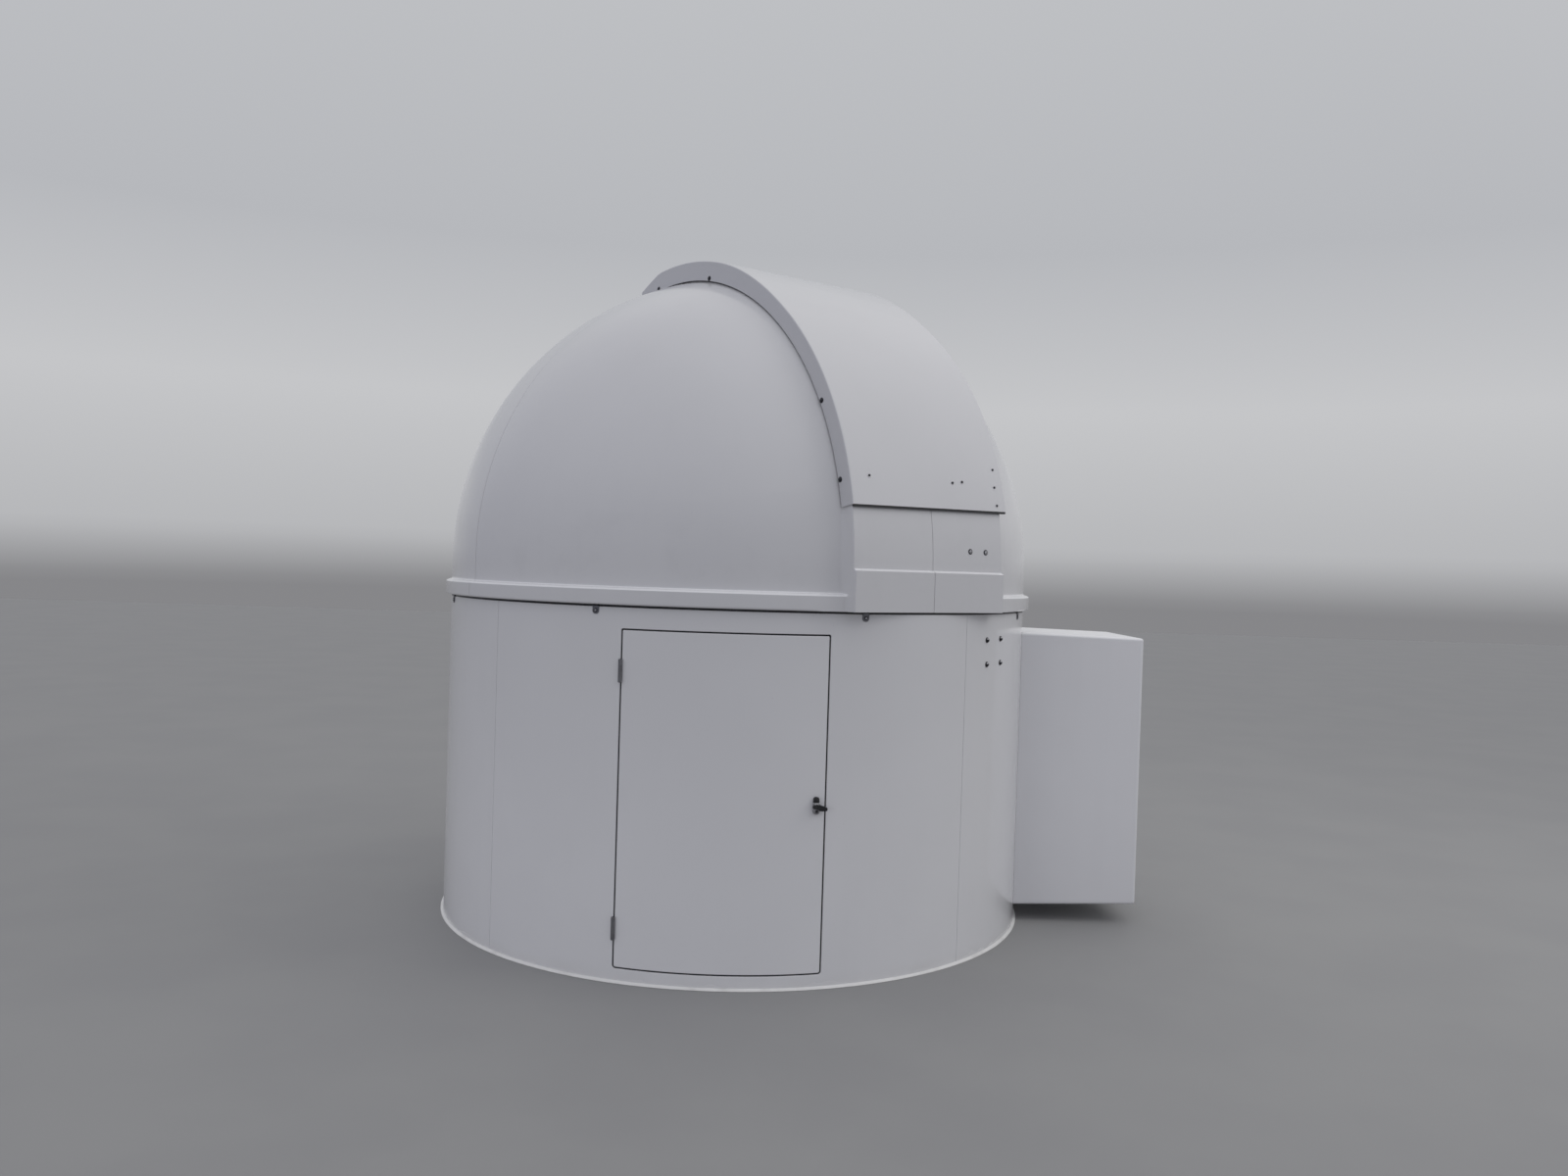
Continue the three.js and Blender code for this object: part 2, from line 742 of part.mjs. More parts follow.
// The shutter's outer radius, which lifts over the dome's crown and slopes down again at the rear end
function shutterRadius(elevation) {
  const lift = THREE.MathUtils.smoothstep(elevation, shutterLiftStart, shutterLiftEnd);
  const slopeLength = shutterRearElevation - shutterSlopeStart;
  const slope = THREE.MathUtils.clamp((elevation - shutterSlopeStart) / slopeLength, 0, 1);
  return shutterFrontRadius + shutterCrownLift * lift - shutterSlopeDrop * slope;
}

function shutterTop() {
  const edge = shutterHalfWidth;
  const inner = edge - shell;
  return sweptOver(
    (elevation) => {
      const outer = shutterRadius(elevation);
      const halfOutline = [
        [edge - shutterCorner, outer],
        [edge, outer - shutterCorner],
        [edge, outer - shutterTurnDown],
        [inner, outer - shutterTurnDown],
        [inner, outer - shutterCorner - shutterInnerCorner],
        [inner - shutterPlate, outer - shutterPlate],
      ];
      const mirrored = halfOutline.map(([lateral, radius]) => [-lateral, radius]).reverse();
      return halfOutline.concat(mirrored);
    },
    shutterFrontElevation, shutterRearElevation, 3);
}

function shutterSkirt(side) {
  const edge = shutterHalfWidth;
  let skirt = sweptOver(
    (elevation) => {
      const top = shutterRadius(elevation) - shutterTurnDown - fitGap;
      return [
        [edge - shell, shutterSkirtRadius],
        [edge, shutterSkirtRadius],
        [edge, top],
        [edge - shell, top],
      ];
    },
    shutterFrontElevation, shutterRearElevation, 3);
  const rollerInner = slitHalfWidth + 2.5;
  for (const elevation of guideRollerElevations) {
    const centre = overSlit(guideRollerPath, 0, elevation);
    const roller = rod(guideRollerRadius, rollerInner, edge - 2, 16).rotate([-90, 0, 0]);
    skirt = skirt.add(roller.translate([centre.x, 0, centre.z]));
  }
  return side > 0 ? skirt : skirt.mirror([0, 1, 0]);
}

// The cross plate that closes the shutter's rear end down to the dome
function shutterRearLip() {
  const edge = shutterHalfWidth - shell - fitGap;
  const outer = shutterRadius(shutterRearElevation);
  const shoulder = outer - shutterTurnDown + shutterLipOverlap;
  const top = outer - shutterPlate - fitGap;
  const curve = [];
  const count = 12;
  for (let index = 0; index <= count; index += 1) {
    const lateral = edge - (2 * edge * index) / count;
    const overDome = Math.sqrt(shutterLipRadius ** 2 - lateral ** 2);
    curve.push([lateral, Math.max(overDome, stripTop + movingGap)]);
  }
  const outline = [
    [-edge, shoulder],
    [shutterLipCorner - edge, top],
    [edge - shutterLipCorner, top],
    [edge, shoulder],
    ...curve,
  ];
  const lipAngle = THREE.MathUtils.radToDeg(shell / shutterFrontRadius);
  return sweptOver(() => outline, shutterRearElevation - lipAngle, shutterRearElevation, 3);
}

function shutterPieces() {
  const group = new THREE.Group();
  group.add(
    piece("shutter_top", shutterTop(), "gelcoat"),
    piece("shutter_skirt_left", shutterSkirt(-1), "gelcoat"),
    piece("shutter_skirt_right", shutterSkirt(1), "gelcoat"),
    piece("shutter_rear_lip", shutterRearLip(), "gelcoat"),
  );
  return group;
}

const turningDome = new THREE.Group();
turningDome.add(domePieces(), shutterPieces());
turningDome.rotation.z = radians(slitBearing - 90);

const observatoryDome = new THREE.Group();
observatoryDome.name = "observatory_dome";
observatoryDome.add(wallPieces(), doorPieces(), turningDome);
observatoryDome.position.x = domeAxisX;

export default observatoryDome;
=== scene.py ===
import math

import bmesh
import bpy
from mathutils import Matrix, Vector, noise


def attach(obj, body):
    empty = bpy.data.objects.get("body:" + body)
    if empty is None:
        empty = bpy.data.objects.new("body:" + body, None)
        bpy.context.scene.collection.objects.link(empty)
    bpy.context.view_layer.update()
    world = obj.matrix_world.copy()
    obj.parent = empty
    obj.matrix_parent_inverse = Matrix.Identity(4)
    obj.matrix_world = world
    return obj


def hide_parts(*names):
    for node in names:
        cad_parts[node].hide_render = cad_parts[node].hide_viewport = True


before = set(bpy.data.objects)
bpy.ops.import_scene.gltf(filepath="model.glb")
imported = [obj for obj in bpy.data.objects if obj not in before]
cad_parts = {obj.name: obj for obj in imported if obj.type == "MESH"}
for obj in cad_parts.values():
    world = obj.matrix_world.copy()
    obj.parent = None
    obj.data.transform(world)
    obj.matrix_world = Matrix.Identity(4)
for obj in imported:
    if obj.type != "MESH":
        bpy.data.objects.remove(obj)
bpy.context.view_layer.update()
scene = bpy.context.scene
print("frame loaded:", len(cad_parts), "nodes")


def turned(degrees, axis):
    return Matrix.Rotation(math.radians(degrees), 4, axis)


def moved(x, y, z):
    return Matrix.Translation((x, y, z))


def take(settings, keys):
    # Several settings at once, their names in one string
    return [settings[key] for key in keys.split()]


def addObject(name, data):
    made = bpy.data.objects.new(name, data)
    scene.collection.objects.link(made)
    return made


# Metres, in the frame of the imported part. The wall and the dome stand round a vertical axis at x = axisX.
# A bearing is an angle round that axis, counted from the front (-Y) towards the bay (+X).
axisX = -0.248
domeCentre = 1.569
slitBearing = 36
toAxis = moved(axisX, 0, 0)
slitTurn = toAxis @ turned(slitBearing - 90, "Z")
inPlace = Matrix()
outward = turned(90, "Y")
base = Vector((0, 0, 0))
hub = Vector((0, 0, domeCentre))
alongX, alongY, alongZ = (1, 0, 0), (0, 1, 0), (0, 0, 1)


# Shader nodes

class Wire:
    # One socket of a node tree. Arithmetic on wires adds Math nodes, and node() adds any other node.
    def __init__(self, tree, socket=None):
        self.tree = tree
        self.socket = socket

    def node(self, kind, settings=None, sockets=None, output=0):
        made = self.tree.nodes.new(kind)
        for key, value in (settings or {}).items():
            if key == "stops":
                ramp = made.color_ramp
                while len(ramp.elements) < len(value):
                    ramp.elements.new(0.5)
                for element, (place, colour) in zip(ramp.elements, value):
                    element.position = place
                    element.color = colour
            else:
                setattr(made, key, value)
        for key, value in (sockets or {}).items():
            if isinstance(value, Wire):
                self.tree.links.new(value.socket, made.inputs[key])
            else:
                made.inputs[key].default_value = value
        return Wire(self.tree, made.outputs[output])

    def math(self, operation, first, second):
        return self.node("ShaderNodeMath", {"operation": operation}, {0: first, 1: second})

    def __add__(self, other):
        return self.math("ADD", self, other)

    def __radd__(self, other):
        return self.math("ADD", other, self)

    def __mul__(self, other):
        return self.math("MULTIPLY", self, other)

    def __rmul__(self, other):
        return self.math("MULTIPLY", other, self)

    def between(self, low, high, start=0.0, end=1.0):
        return self.node(
            "ShaderNodeMapRange", {"interpolation_type": "SMOOTHSTEP"},
            {"Value": self, "From Min": low, "From Max": high, "To Min": start, "To Max": end})

    def tint(self, first, second):
        return self.node("ShaderNodeMix", {"data_type": "RGBA"}, {0: self, 6: first, 7: second}, output=2)


def partOf(vector, axis="Z"):
    return vector.node("ShaderNodeSeparateXYZ", sockets={"Vector": vector}, output=axis)


# Camera and light

cameraSetup = {"place": (-0.101, -5.771, 1.559), "yaw": 0.61, "down": 0.9, "roll": -1.76, "lens": 27.905}
skies = {
    "cool": (
        (0.49, (0.22, 0.225, 0.26, 1)), (0.51, (0.30, 0.31, 0.38, 1)), (0.64, (0.345, 0.36, 0.425, 1)),
        (1.0, (0.72, 0.72, 0.75, 1))),
    "bright": (
        (0.49, (0.24, 0.24, 0.25, 1)), (0.51, (0.38, 0.38, 0.395, 1)), (0.57, (0.57, 0.57, 0.585, 1)),
        (0.64, (0.64, 0.64, 0.655, 1)), (1.0, (0.74, 0.74, 0.74, 1))),
    "behind": (
        (0.49, (0.24, 0.24, 0.25, 1)), (0.51, (0.47, 0.475, 0.49, 1)), (0.565, (0.56, 0.565, 0.58, 1)),
        (0.625, (0.47, 0.48, 0.505, 1)), (0.74, (0.53, 0.54, 0.56, 1)), (0.92, (0.74, 0.74, 0.75, 1))),
}
brightSide = (0.72, 0.69, 0)
softBoxes = {
    "overhead": {
        "place": (0.8, 0.6, 6.8), "aim": (0, 0, 1.6), "size": (7, 7), "power": 14, "spread": 180,
        "colour": (1, 1, 1)},
    "lowFront": {
        "place": (-8.6, -11.2, 2.2), "aim": (-0.6, -0.8, 0.5), "size": (6, 3), "power": 8.8, "spread": 40,
        "colour": (1, 0.99, 0.98)},
    "rightFront": {
        "place": (6.0, -1.5, 5.0), "aim": (0, 0, 1.2), "size": (3, 3), "power": 58, "spread": 180,
        "colour": (1, 0.99, 0.97)},
}


def makeCamera(settings):
    yaw, down, roll = map(math.radians, take(settings, "yaw down roll"))
    forward = Vector((math.sin(yaw) * math.cos(down), math.cos(yaw) * math.cos(down), -math.sin(down)))
    right = Vector((math.cos(yaw), -math.sin(yaw), 0))
    below = -right.cross(forward)
    across = right * math.cos(roll) + below * math.sin(roll)
    upward = right * math.sin(roll) - below * math.cos(roll)
    data = bpy.data.cameras.new("photoCamera")
    data.sensor_width = 36
    data.lens = settings["lens"]
    turn = Matrix((across, upward, -forward)).transposed().to_4x4()
    camera = addObject("photoCamera", data)
    camera.matrix_world = Matrix.Translation(settings["place"]) @ turn
    scene.camera = camera


def makeSky():
    world = bpy.data.worlds.new("softSky")
    world.use_nodes = True
    direction = Wire(world.node_tree).node("ShaderNodeTexCoord", output="Generated")
    upward = partOf(direction) * 0.5 + 0.5
    cool, bright, behind = (
        upward.node("ShaderNodeValToRGB", {"stops": stops}, {"Fac": upward}) for stops in skies.values())
    side = direction.node(
        "ShaderNodeVectorMath", {"operation": "DOT_PRODUCT"}, {0: direction, 1: brightSide}, output="Value")
    ahead = side.between(-0.9, 0.9).tint(cool, bright)
    sky = partOf(direction, "Y").between(0.45, 0.85).tint(ahead, behind)
    world.node_tree.links.new(sky.socket, world.node_tree.nodes["Background"].inputs["Color"])
    scene.world = world


def makeLamps():
    for name, box in softBoxes.items():
        data = bpy.data.lights.new(name, "AREA")
        data.shape = "RECTANGLE"
        data.size, data.size_y = box["size"]
        data.energy = box["power"]
        data.spread = math.radians(box["spread"])
        data.color = box["colour"]
        turn = (Vector(box["aim"]) - Vector(box["place"])).to_track_quat("-Z", "Y").to_matrix().to_4x4()
        lamp = addObject(name, data)
        lamp.matrix_world = Matrix.Translation(box["place"]) @ turn
        lamp.visible_glossy = False


makeCamera(cameraSetup)
makeSky()
makeLamps()
scene.view_settings.view_transform = "Standard"
print("camera and light ready")


# Materials

def newFinish(name):
    material = bpy.data.materials.new(name)
    material.use_nodes = True
    return material, Wire(material.node_tree).node("ShaderNodeTexCoord", output="Object")


def cloud(place, scale, detail=2.0, roughness=0.5, stretch=(1, 1, 1), shift=(0, 0, 0)):
    spot = place.node(
        "ShaderNodeMapping", {"vector_type": "POINT"}, {"Vector": place, "Scale": stretch, "Location": shift})
    return place.node(
        "ShaderNodeTexNoise", {"noise_dimensions": "3D"},
        {"Vector": spot, "Scale": scale, "Detail": detail, "Roughness": roughness})


def bumped(height, distance, strength, under=None):
    sockets = {"Height": height, "Distance": distance, "Strength": strength}
    if under is not None:
        sockets["Normal"] = under
    return height.node("ShaderNodeBump", sockets=sockets)


def closeFinish(material, settings, colour, rough, normal=None):
    shader = material.node_tree.nodes["Principled BSDF"]
    for key, value in settings.items():
        shader.inputs[key].default_value = value
    for key, wire in {"Base Color": colour, "Roughness": rough, "Normal": normal}.items():
        if wire is not None:
            material.node_tree.links.new(wire.socket, shader.inputs[key])
    return material


# The grey of stains and runs is also the grey that the painted shade darkens towards
gelcoatLook = {
    "worn": 0.977, "dust": (0.60, 0.585, 0.555, 1), "stain": (0.50, 0.50, 0.515, 1),
    "paintedHighlight": (0.93, 0.93, 0.945, 1), "washedTop": 1.62, "roughness": 0.10, "dulling": 0.09,
    "dustTop": 0.02, "blotches": 0.03, "runs": 0.02}
# For the wall, door, bay and dome a painted shade darkens the colour by height, given as a low height, a high
# height and how far the colour goes towards grey at each
gelcoats = {
    "wallGelcoat": {
        "clean": (0.818, 0.818, 0.833), "dustTop": 0.09, "blotchBand": (0.2, 1.0), "runs": 0.03,
        "shift": (0, 0, 0), "paintedShade": (0.30, 1.35, 0.0, 0.16)},
    "doorGelcoat": {
        "clean": (0.825, 0.825, 0.84), "dustTop": 0.12, "blotchBand": (0.1, 0.9), "blotches": 0.02,
        "shift": (3.1, 1.7, 0.4), "paintedShade": (0.30, 1.35, 0.0, 0.15)},
    "bayGelcoat": {
        "clean": (0.86, 0.86, 0.88), "blotchBand": (0.1, 0.6), "blotches": 0.02, "runs": 0.03,
        "shift": (7.3, 2.2, 1.9), "paintedShade": (0.08, 0.70, 0.10, 0.0), "flatTop": (1.290, 1.2938, 0.45)},
    "domeGelcoat": {
        "clean": (0.765, 0.765, 0.78), "blotchBand": (1.50, 1.95), "blotches": 0.10, "runs": 0.035,
        "shift": (1.2, 5.5, 0.8), "paintedShade": (1.56, 1.96, 0.17, 0.0)},
    "shutterGelcoat": {"clean": (0.765, 0.765, 0.78), "blotchBand": (1.7, 2.2), "shift": (4.6, 0.9, 6.2)},
    # The shutter's sides take a darker copy of its gelcoat, as painted shade
    "shutterSideShadedGelcoat": {"clean": (0.65, 0.65, 0.672), "blotchBand": (1.7, 2.2), "shift": (2.6, 1.9, 3.2)},
}


def makeGelcoat(name):
    # Glossy white gelcoat with faint cloudiness, rain runs, dust low down and a slight mould ripple.
    # Faces that look up, below a set height, are painted near white as a painted highlight, and some pieces
    # are darkened by height as painted shade
    look = {**gelcoatLook, **gelcoats[name]}
    shift, dustTop, stain, washedTop = take(look, "shift dustTop stain washedTop")
    clean = (*look["clean"], 1)
    worn = (*[value * look["worn"] for value in look["clean"]], 1)
    material, place = newFinish(name)
    height = partOf(place)
    patches = cloud(place, 6.5, 4.0, 0.62, shift=shift).between(0.50, 0.74)
    blotches = patches * height.between(*look["blotchBand"], 1.0, 0.0) * look["blotches"]
    rain = cloud(place, 7.0, 3.0, 0.6, (1, 1, 0.05), shift).between(0.52, 0.80)
    specks = cloud(place, 150.0, 1.0, shift=shift).between(0.755, 0.80)
    dustEdge = cloud(place, 9.0, 3.0, shift=shift) * 0.6
    dust = (height + dustEdge * dustTop).between(dustTop * 0.1, dustTop, 1.0, 0.0)
    colour = cloud(place, 1.7, 3.0, shift=shift).between(0.35, 0.70).tint(clean, worn)
    colour = (rain * look["runs"]).tint(colour, stain)
    colour = blotches.tint(colour, stain)
    # Painted shade: darker towards the top of the wall and the door, and towards the foot of the bay and of
    # the dome
    if "paintedShade" in look:
        colour = height.between(*look["paintedShade"]).tint(colour, stain)
    # Painted highlight: faces that look up, below a set height, are painted near white
    facing = place.node("ShaderNodeTexCoord", output="Normal")
    upFacingHighlight = partOf(facing).between(0.28, 0.52) * height.between(washedTop, washedTop + 0.02, 1.0, 0.0)
    colour = upFacingHighlight.tint(colour, look["paintedHighlight"])
    colour = (dust * 0.26).tint(colour, look["dust"])
    colour = (specks * 0.22).tint(colour, stain)
    smear = cloud(place, 3.1, 5.0, 0.6, (1, 1, 0.35), shift).between(0.42, 0.75)
    rough = look["roughness"] + look["dulling"] * smear + dust * 0.22 + blotches
    if "flatTop" in look:
        low, high, dulled = look["flatTop"]
        rough = rough + dulled * height.between(low, high)
    normal = bumped(cloud(place, 4.2, 1.0, shift=shift), 0.0030, 0.5)
    normal = bumped(cloud(place, 240.0, 1.0), 0.00012, 0.5, normal)
    shine = {"IOR": 1.5, "Coat Weight": 0.25, "Coat Roughness": 0.08}
    return closeFinish(material, shine, colour, rough, normal)


laminateLook = {"light": (0.79, 0.79, 0.78, 1), "dark": (0.73, 0.73, 0.722, 1), "roughness": 0.55}
plasticLook = {"fresh": (0.012, 0.012, 0.014, 1), "worn": (0.035, 0.035, 0.037, 1), "roughness": 0.36}
sealantLook = {
    "clean": (0.88, 0.875, 0.86, 1), "dirt": (0.40, 0.39, 0.37, 1), "smudge": (0.56, 0.55, 0.53, 1),
    "roughness": 0.42}


def makeLaminate():
    # The inside of the mouldings: brushed topcoat over chopped strand, so it is dull and hairy
    material, place = newFinish("laminateInside")
    broad = cloud(place, 5.0, 3.0)
    strands = place.node(
        "ShaderNodeTexVoronoi", {"feature": "DISTANCE_TO_EDGE"}, {"Vector": place, "Scale": 95.0},
        output="Distance")
    fibres = cloud(place, 60.0, 4.0, 0.7, (1, 1, 0.3))
    mixed = (broad * 0.35 + fibres * 0.65).between(0.35, 0.65)
    colour = mixed.tint(laminateLook["dark"], laminateLook["light"])
    normal = bumped(strands.between(0.0, 0.12), 0.0006, 0.6)
    normal = bumped(fibres, 0.0008, 0.6, normal)
    return closeFinish(material, {"IOR": 1.48}, colour, laminateLook["roughness"] + 0.2 * fibres, normal)


def makeMetal(name, colour, worn, roughness, grain=(1, 1, 1), metallic=1.0):
    # Satin metal: fine grain along one way, a few dull finger marks and darker patches at random
    material, place = newFinish(name)
    fine = cloud(place, 420.0, 2.0, 0.6, grain)
    marks = cloud(place, 46.0, 3.0, 0.6).between(0.45, 0.72)
    tone = (marks * 0.7 + fine * 0.3).tint((*colour, 1), (*worn, 1))
    rough = roughness + 0.16 * marks + 0.10 * fine
    return closeFinish(material, {"Metallic": metallic}, tone, rough, bumped(fine, 0.00006, 0.6))


def makeBlackPlastic():
    material, place = newFinish("blackPlastic")
    grain = cloud(place, 900.0, 2.0, 0.6)
    wear = cloud(place, 70.0, 3.0).between(0.5, 0.75)
    tone = wear.tint(plasticLook["fresh"], plasticLook["worn"])
    rough = plasticLook["roughness"] + 0.2 * wear
    return closeFinish(material, {}, tone, rough, bumped(grain, 0.00008, 0.7))


def makeSealant():
    # Hand-run silicone: tooled lumps, and grey dirt that sticks to its foot
    material, place = newFinish("whiteSealant")
    lumps = cloud(place, 34.0, 3.0, 0.6)
    dirt = (partOf(place) + 0.006 * cloud(place, 22.0, 4.0)).between(0.002, 0.0085, 1.0, 0.0)
    smudge = cloud(place, 8.0, 4.0).between(0.52, 0.72) * 0.35
    tone = (dirt * 0.35).tint(sealantLook["clean"], sealantLook["dirt"])
    tone = smudge.tint(tone, sealantLook["smudge"])
    rough = sealantLook["roughness"] + 0.25 * dirt
    return closeFinish(material, {"IOR": 1.42}, tone, rough, bumped(lumps, 0.0012, 0.7))


wallFinish, doorFinish, bayFinish, domeFinish, shutterFinish, shutterSideShadedFinish = map(makeGelcoat, gelcoats)
laminate = makeLaminate()
hingeSteel = makeMetal("hingeSteel", (0.30, 0.30, 0.31), (0.19, 0.19, 0.20), 0.32, (1, 1, 0.06))
clipSteel = makeMetal("clipSteel", (0.22, 0.22, 0.235), (0.14, 0.14, 0.15), 0.32, (1, 1, 0.08))
boltSteel = makeMetal("boltSteel", (0.08, 0.08, 0.09), (0.04, 0.04, 0.045), 0.28)
# Bright steel for washers and bolt heads, also used as the painted highlight on the wall bolts
brightSteelAndHighlight = makeMetal("brightSteelAndHighlight", (0.72, 0.72, 0.74), (0.55, 0.55, 0.56), 0.20)
handleMetal = makeMetal("handleMetal", (0.16, 0.16, 0.17), (0.09, 0.09, 0.095), 0.34, (1, 1, 0.3), 0.85)
chrome = makeMetal("brightRing", (0.80, 0.80, 0.81), (0.66, 0.66, 0.67), 0.12)
lockMetal = makeMetal("lockMetal", (0.42, 0.42, 0.43), (0.30, 0.30, 0.31), 0.30, (1, 0.2, 1))
blackPlastic = makeBlackPlastic()
sealant = makeSealant()
boltFinishes = (boltSteel, brightSteelAndHighlight, blackPlastic)
flangeFinishes = (laminate, brightSteelAndHighlight, hingeSteel)
print("materials ready")


# Mesh helpers

def cut(bm, place, normal, distance=1e-6, geometry=None, clear=False):
    everything = bm.verts[:] + bm.edges[:] + bm.faces[:]
    bmesh.ops.bisect_plane(
        bm, geom=geometry or everything, plane_co=place, plane_no=normal, dist=distance, clear_inner=clear)


def move(bm, matrix, verts=None):
    bmesh.ops.transform(bm, matrix=matrix, verts=verts or bm.verts)


def faceOut(bm):
    bmesh.ops.recalc_face_normals(bm, faces=bm.faces)


def madeSince(bm, before):
    return [vert for vert in bm.verts if vert not in before]


def paint(faces, finish):
    for face in faces:
        face.material_index = finish


def middleOf(face):
    return face.calc_center_median()


def facingInto(bm, middle):
    return [face for face in bm.faces if face.normal.dot(middleOf(face) - Vector(middle)) < 0]


def dropFaces(bm, faces):
    bmesh.ops.delete(bm, geom=faces, context="FACES")


def edgesWithin(verts):
    chosen = set(verts)
    return list({edge for vert in verts for edge in vert.link_edges if edge.other_vert(vert) in chosen})


def facesWithin(verts):
    chosen = set(verts)
    return list({face for vert in verts for face in vert.link_faces if chosen.issuperset(face.verts)})


def withEdges(faces):
    return list({item for face in faces for item in (*face.verts, *face.edges)}) + faces


def spanOf(edge, axis):
    return abs(edge.verts[0].co[axis] - edge.verts[1].co[axis])


def edgesPast(edges, axis, limit):
    # The edges with both ends beyond a plane
    return [edge for edge in edges if min(vert.co[axis] for vert in edge.verts) > limit]


def softenEdges(bm, edges, size, segments=2):
    bmesh.ops.bevel(
        bm, geom=edges, offset=size, offset_type="OFFSET", affect="EDGES", segments=segments,
        profile=0.5, material=-1, clamp_overlap=True)


def drawLine(bm, points, closed=False):
    verts = [bm.verts.new(point) for point in points]
    pairs = list(zip(verts, verts[1:]))
    if closed:
        pairs.append((verts[-1], verts[0]))
    return verts + [bm.edges.new(pair) for pair in pairs]


def fillOutline(bm, points):
    edges = drawLine(bm, points, True)[len(points):]
    return bmesh.ops.contextual_create(bm, geom=edges)["faces"][0]


def raiseFaces(bm, faces, away):
    raised = bmesh.ops.extrude_face_region(bm, geom=faces)
    verts = [item for item in raised["geom"] if isinstance(item, bmesh.types.BMVert)]
    bmesh.ops.translate(bm, vec=away, verts=verts)


def spinRound(bm, geometry, centre, axis, degrees, steps, full=False):
    bmesh.ops.spin(
        bm, geom=geometry, cent=centre, axis=axis, dvec=(0, 0, 0), angle=math.radians(degrees),
        space=Matrix(), steps=steps, use_merge=full, use_duplicate=False)


def sweep(bm, points, centre, axis, degrees, steps):
    # A closed outline swept round an axis, its ends closed
    face = fillOutline(bm, points)
    spinRound(bm, [face, *face.edges, *face.verts], centre, axis, degrees, steps)


def closeUp(bm, distance=1e-6):
    bmesh.ops.remove_doubles(bm, verts=bm.verts, dist=distance)
    bmesh.ops.dissolve_degenerate(bm, edges=bm.edges, dist=distance)
    faceOut(bm)


def closedRing(outline, steps):
    # A closed (radius, height) outline turned all the way round the axis
    bm = bmesh.new()
    geometry = drawLine(bm, [(radius, 0, height) for radius, height in outline], True)
    spinRound(bm, geometry, base, alongZ, 360, steps, True)
    closeUp(bm)
    return bm


def turnPart(bm, outline, matrix, segments=20, finish=0):
    # A (radius, height) outline turned round the local Z, then put in place
    before = set(bm.verts)
    geometry = drawLine(bm, [(radius, 0, height) for radius, height in outline])
    spinRound(bm, geometry, base, alongZ, 360, segments, True)
    bmesh.ops.remove_doubles(bm, verts=madeSince(bm, before), dist=1e-6)
    made = madeSince(bm, before)
    faces = facesWithin(made)
    bmesh.ops.recalc_face_normals(bm, faces=faces)
    paint(faces, finish)
    move(bm, matrix, made)


def addDisc(bm, radius, low, high, matrix, segments=20, finish=0):
    turnPart(bm, [(0, low), (radius, low), (radius, high), (0, high)], matrix, segments, finish)


def addBlock(bm, low, high, matrix=inPlace):
    centre = [(a + b) / 2 for a, b in zip(low, high)]
    size = [b - a for a, b in zip(low, high)]
    verts = bmesh.ops.create_cube(bm, size=1, matrix=moved(*centre) @ Matrix.Diagonal((*size, 1)))["verts"]
    move(bm, matrix, verts)
    return verts


def softBlock(bm, low, high, size, matrix=inPlace, segments=2, finish=0):
    before = set(bm.verts)
    softenEdges(bm, edgesWithin(addBlock(bm, low, high, matrix)), size, segments)
    paint(facesWithin(madeSince(bm, before)), finish)


def rectangle(left, right, low, high):
    return [(left, low), (right, low), (right, high), (left, high)]


def chamferedStrip(inner, outer, low, high, small):
    # A rectangle with its two upper corners cut off
    return [
        (inner, low), (outer, low), (outer, high - small), (outer - small, high), (inner + small, high),
        (inner, high - small)]


def withMirror(outline):
    return outline + [(first, -second) for first, second in reversed(outline)]


def onWall(radius, bearing, height):
    # Local X points out of the wall, local Y along it to the right, local Z up
    angle = math.radians(bearing)
    foot = toAxis @ moved(radius * math.sin(angle), -radius * math.cos(angle), height)
    return foot @ turned(bearing - 90, "Z")


def shareOf(value, low, high):
    return min(max((value - low) / (high - low), 0.0), 1.0)


def easeBetween(value, low, high):
    share = shareOf(value, low, high)
    return share * share * (3 - 2 * share)


def addMesh(name, bm, finishes):
    mesh = bpy.data.meshes.new(name)
    bm.to_mesh(mesh)
    bm.free()
    for material in finishes:
        mesh.materials.append(material)
    return addObject(name, mesh)


def addPiece(name, bm, place, body, finishes, replaced=(), sharp=35):
    move(bm, place)
    piece = addMesh(name, bm, finishes)
    piece.data.shade_smooth()
    piece.data.set_sharp_from_angle(angle=math.radians(sharp))
    shading = piece.modifiers.new("evenShading", "WEIGHTED_NORMAL")
    shading.keep_sharp = True
    shading.weight = 100
    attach(piece, body)
    if replaced:
        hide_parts(*replaced)


# Walls: flat sheets with their openings cut out, then rolled round the axis

wall = {
    "radius": 1.32, "top": 1.398, "thick": 0.006, "halfSeam": 0.0006, "edge": 0.0016, "slice": 0.03,
    "clear": 0.0004}
doorway = {
    "left": -17.83, "right": 16.58, "bottom": 0.052, "top": 1.32, "corners": (0.012, 0.007), "edge": 0.0018}
bay = {
    "halfWidth": 0.30, "low": 0.072, "high": 1.294, "back": 1.20, "outer": 1.84, "corner": 0.013,
    "rise": 0.014, "fall": 0.0125, "thick": 0.006, "middle": (1.5, 0, 0.68), "slices": 20,
    "openHalf": 0.26, "openLow": 0.10, "openHigh": 1.26, "openCorners": (0.02, 0.02), "openEdge": 0.001}


def arcAt(bearing):
    return math.radians(bearing) * wall["radius"]


def frontEdges(bm):
    return [edge for edge in bm.edges if all(vert.co.y < 1e-6 for vert in edge.verts)]


def roundCorners(bm, sides, heights, sizes):
    # Rounds the edges that run through the sheet, with one size below and one above
    for height, size in zip(heights, sizes):
        corners = [
            edge for edge in bm.edges
            if spanOf(edge, 1) > 0.001 and abs(edge.verts[0].co.z - height) < 1e-5
            and min(abs(edge.verts[0].co.x - side) for side in sides) < 1e-5]
        softenEdges(bm, corners, size, 4)


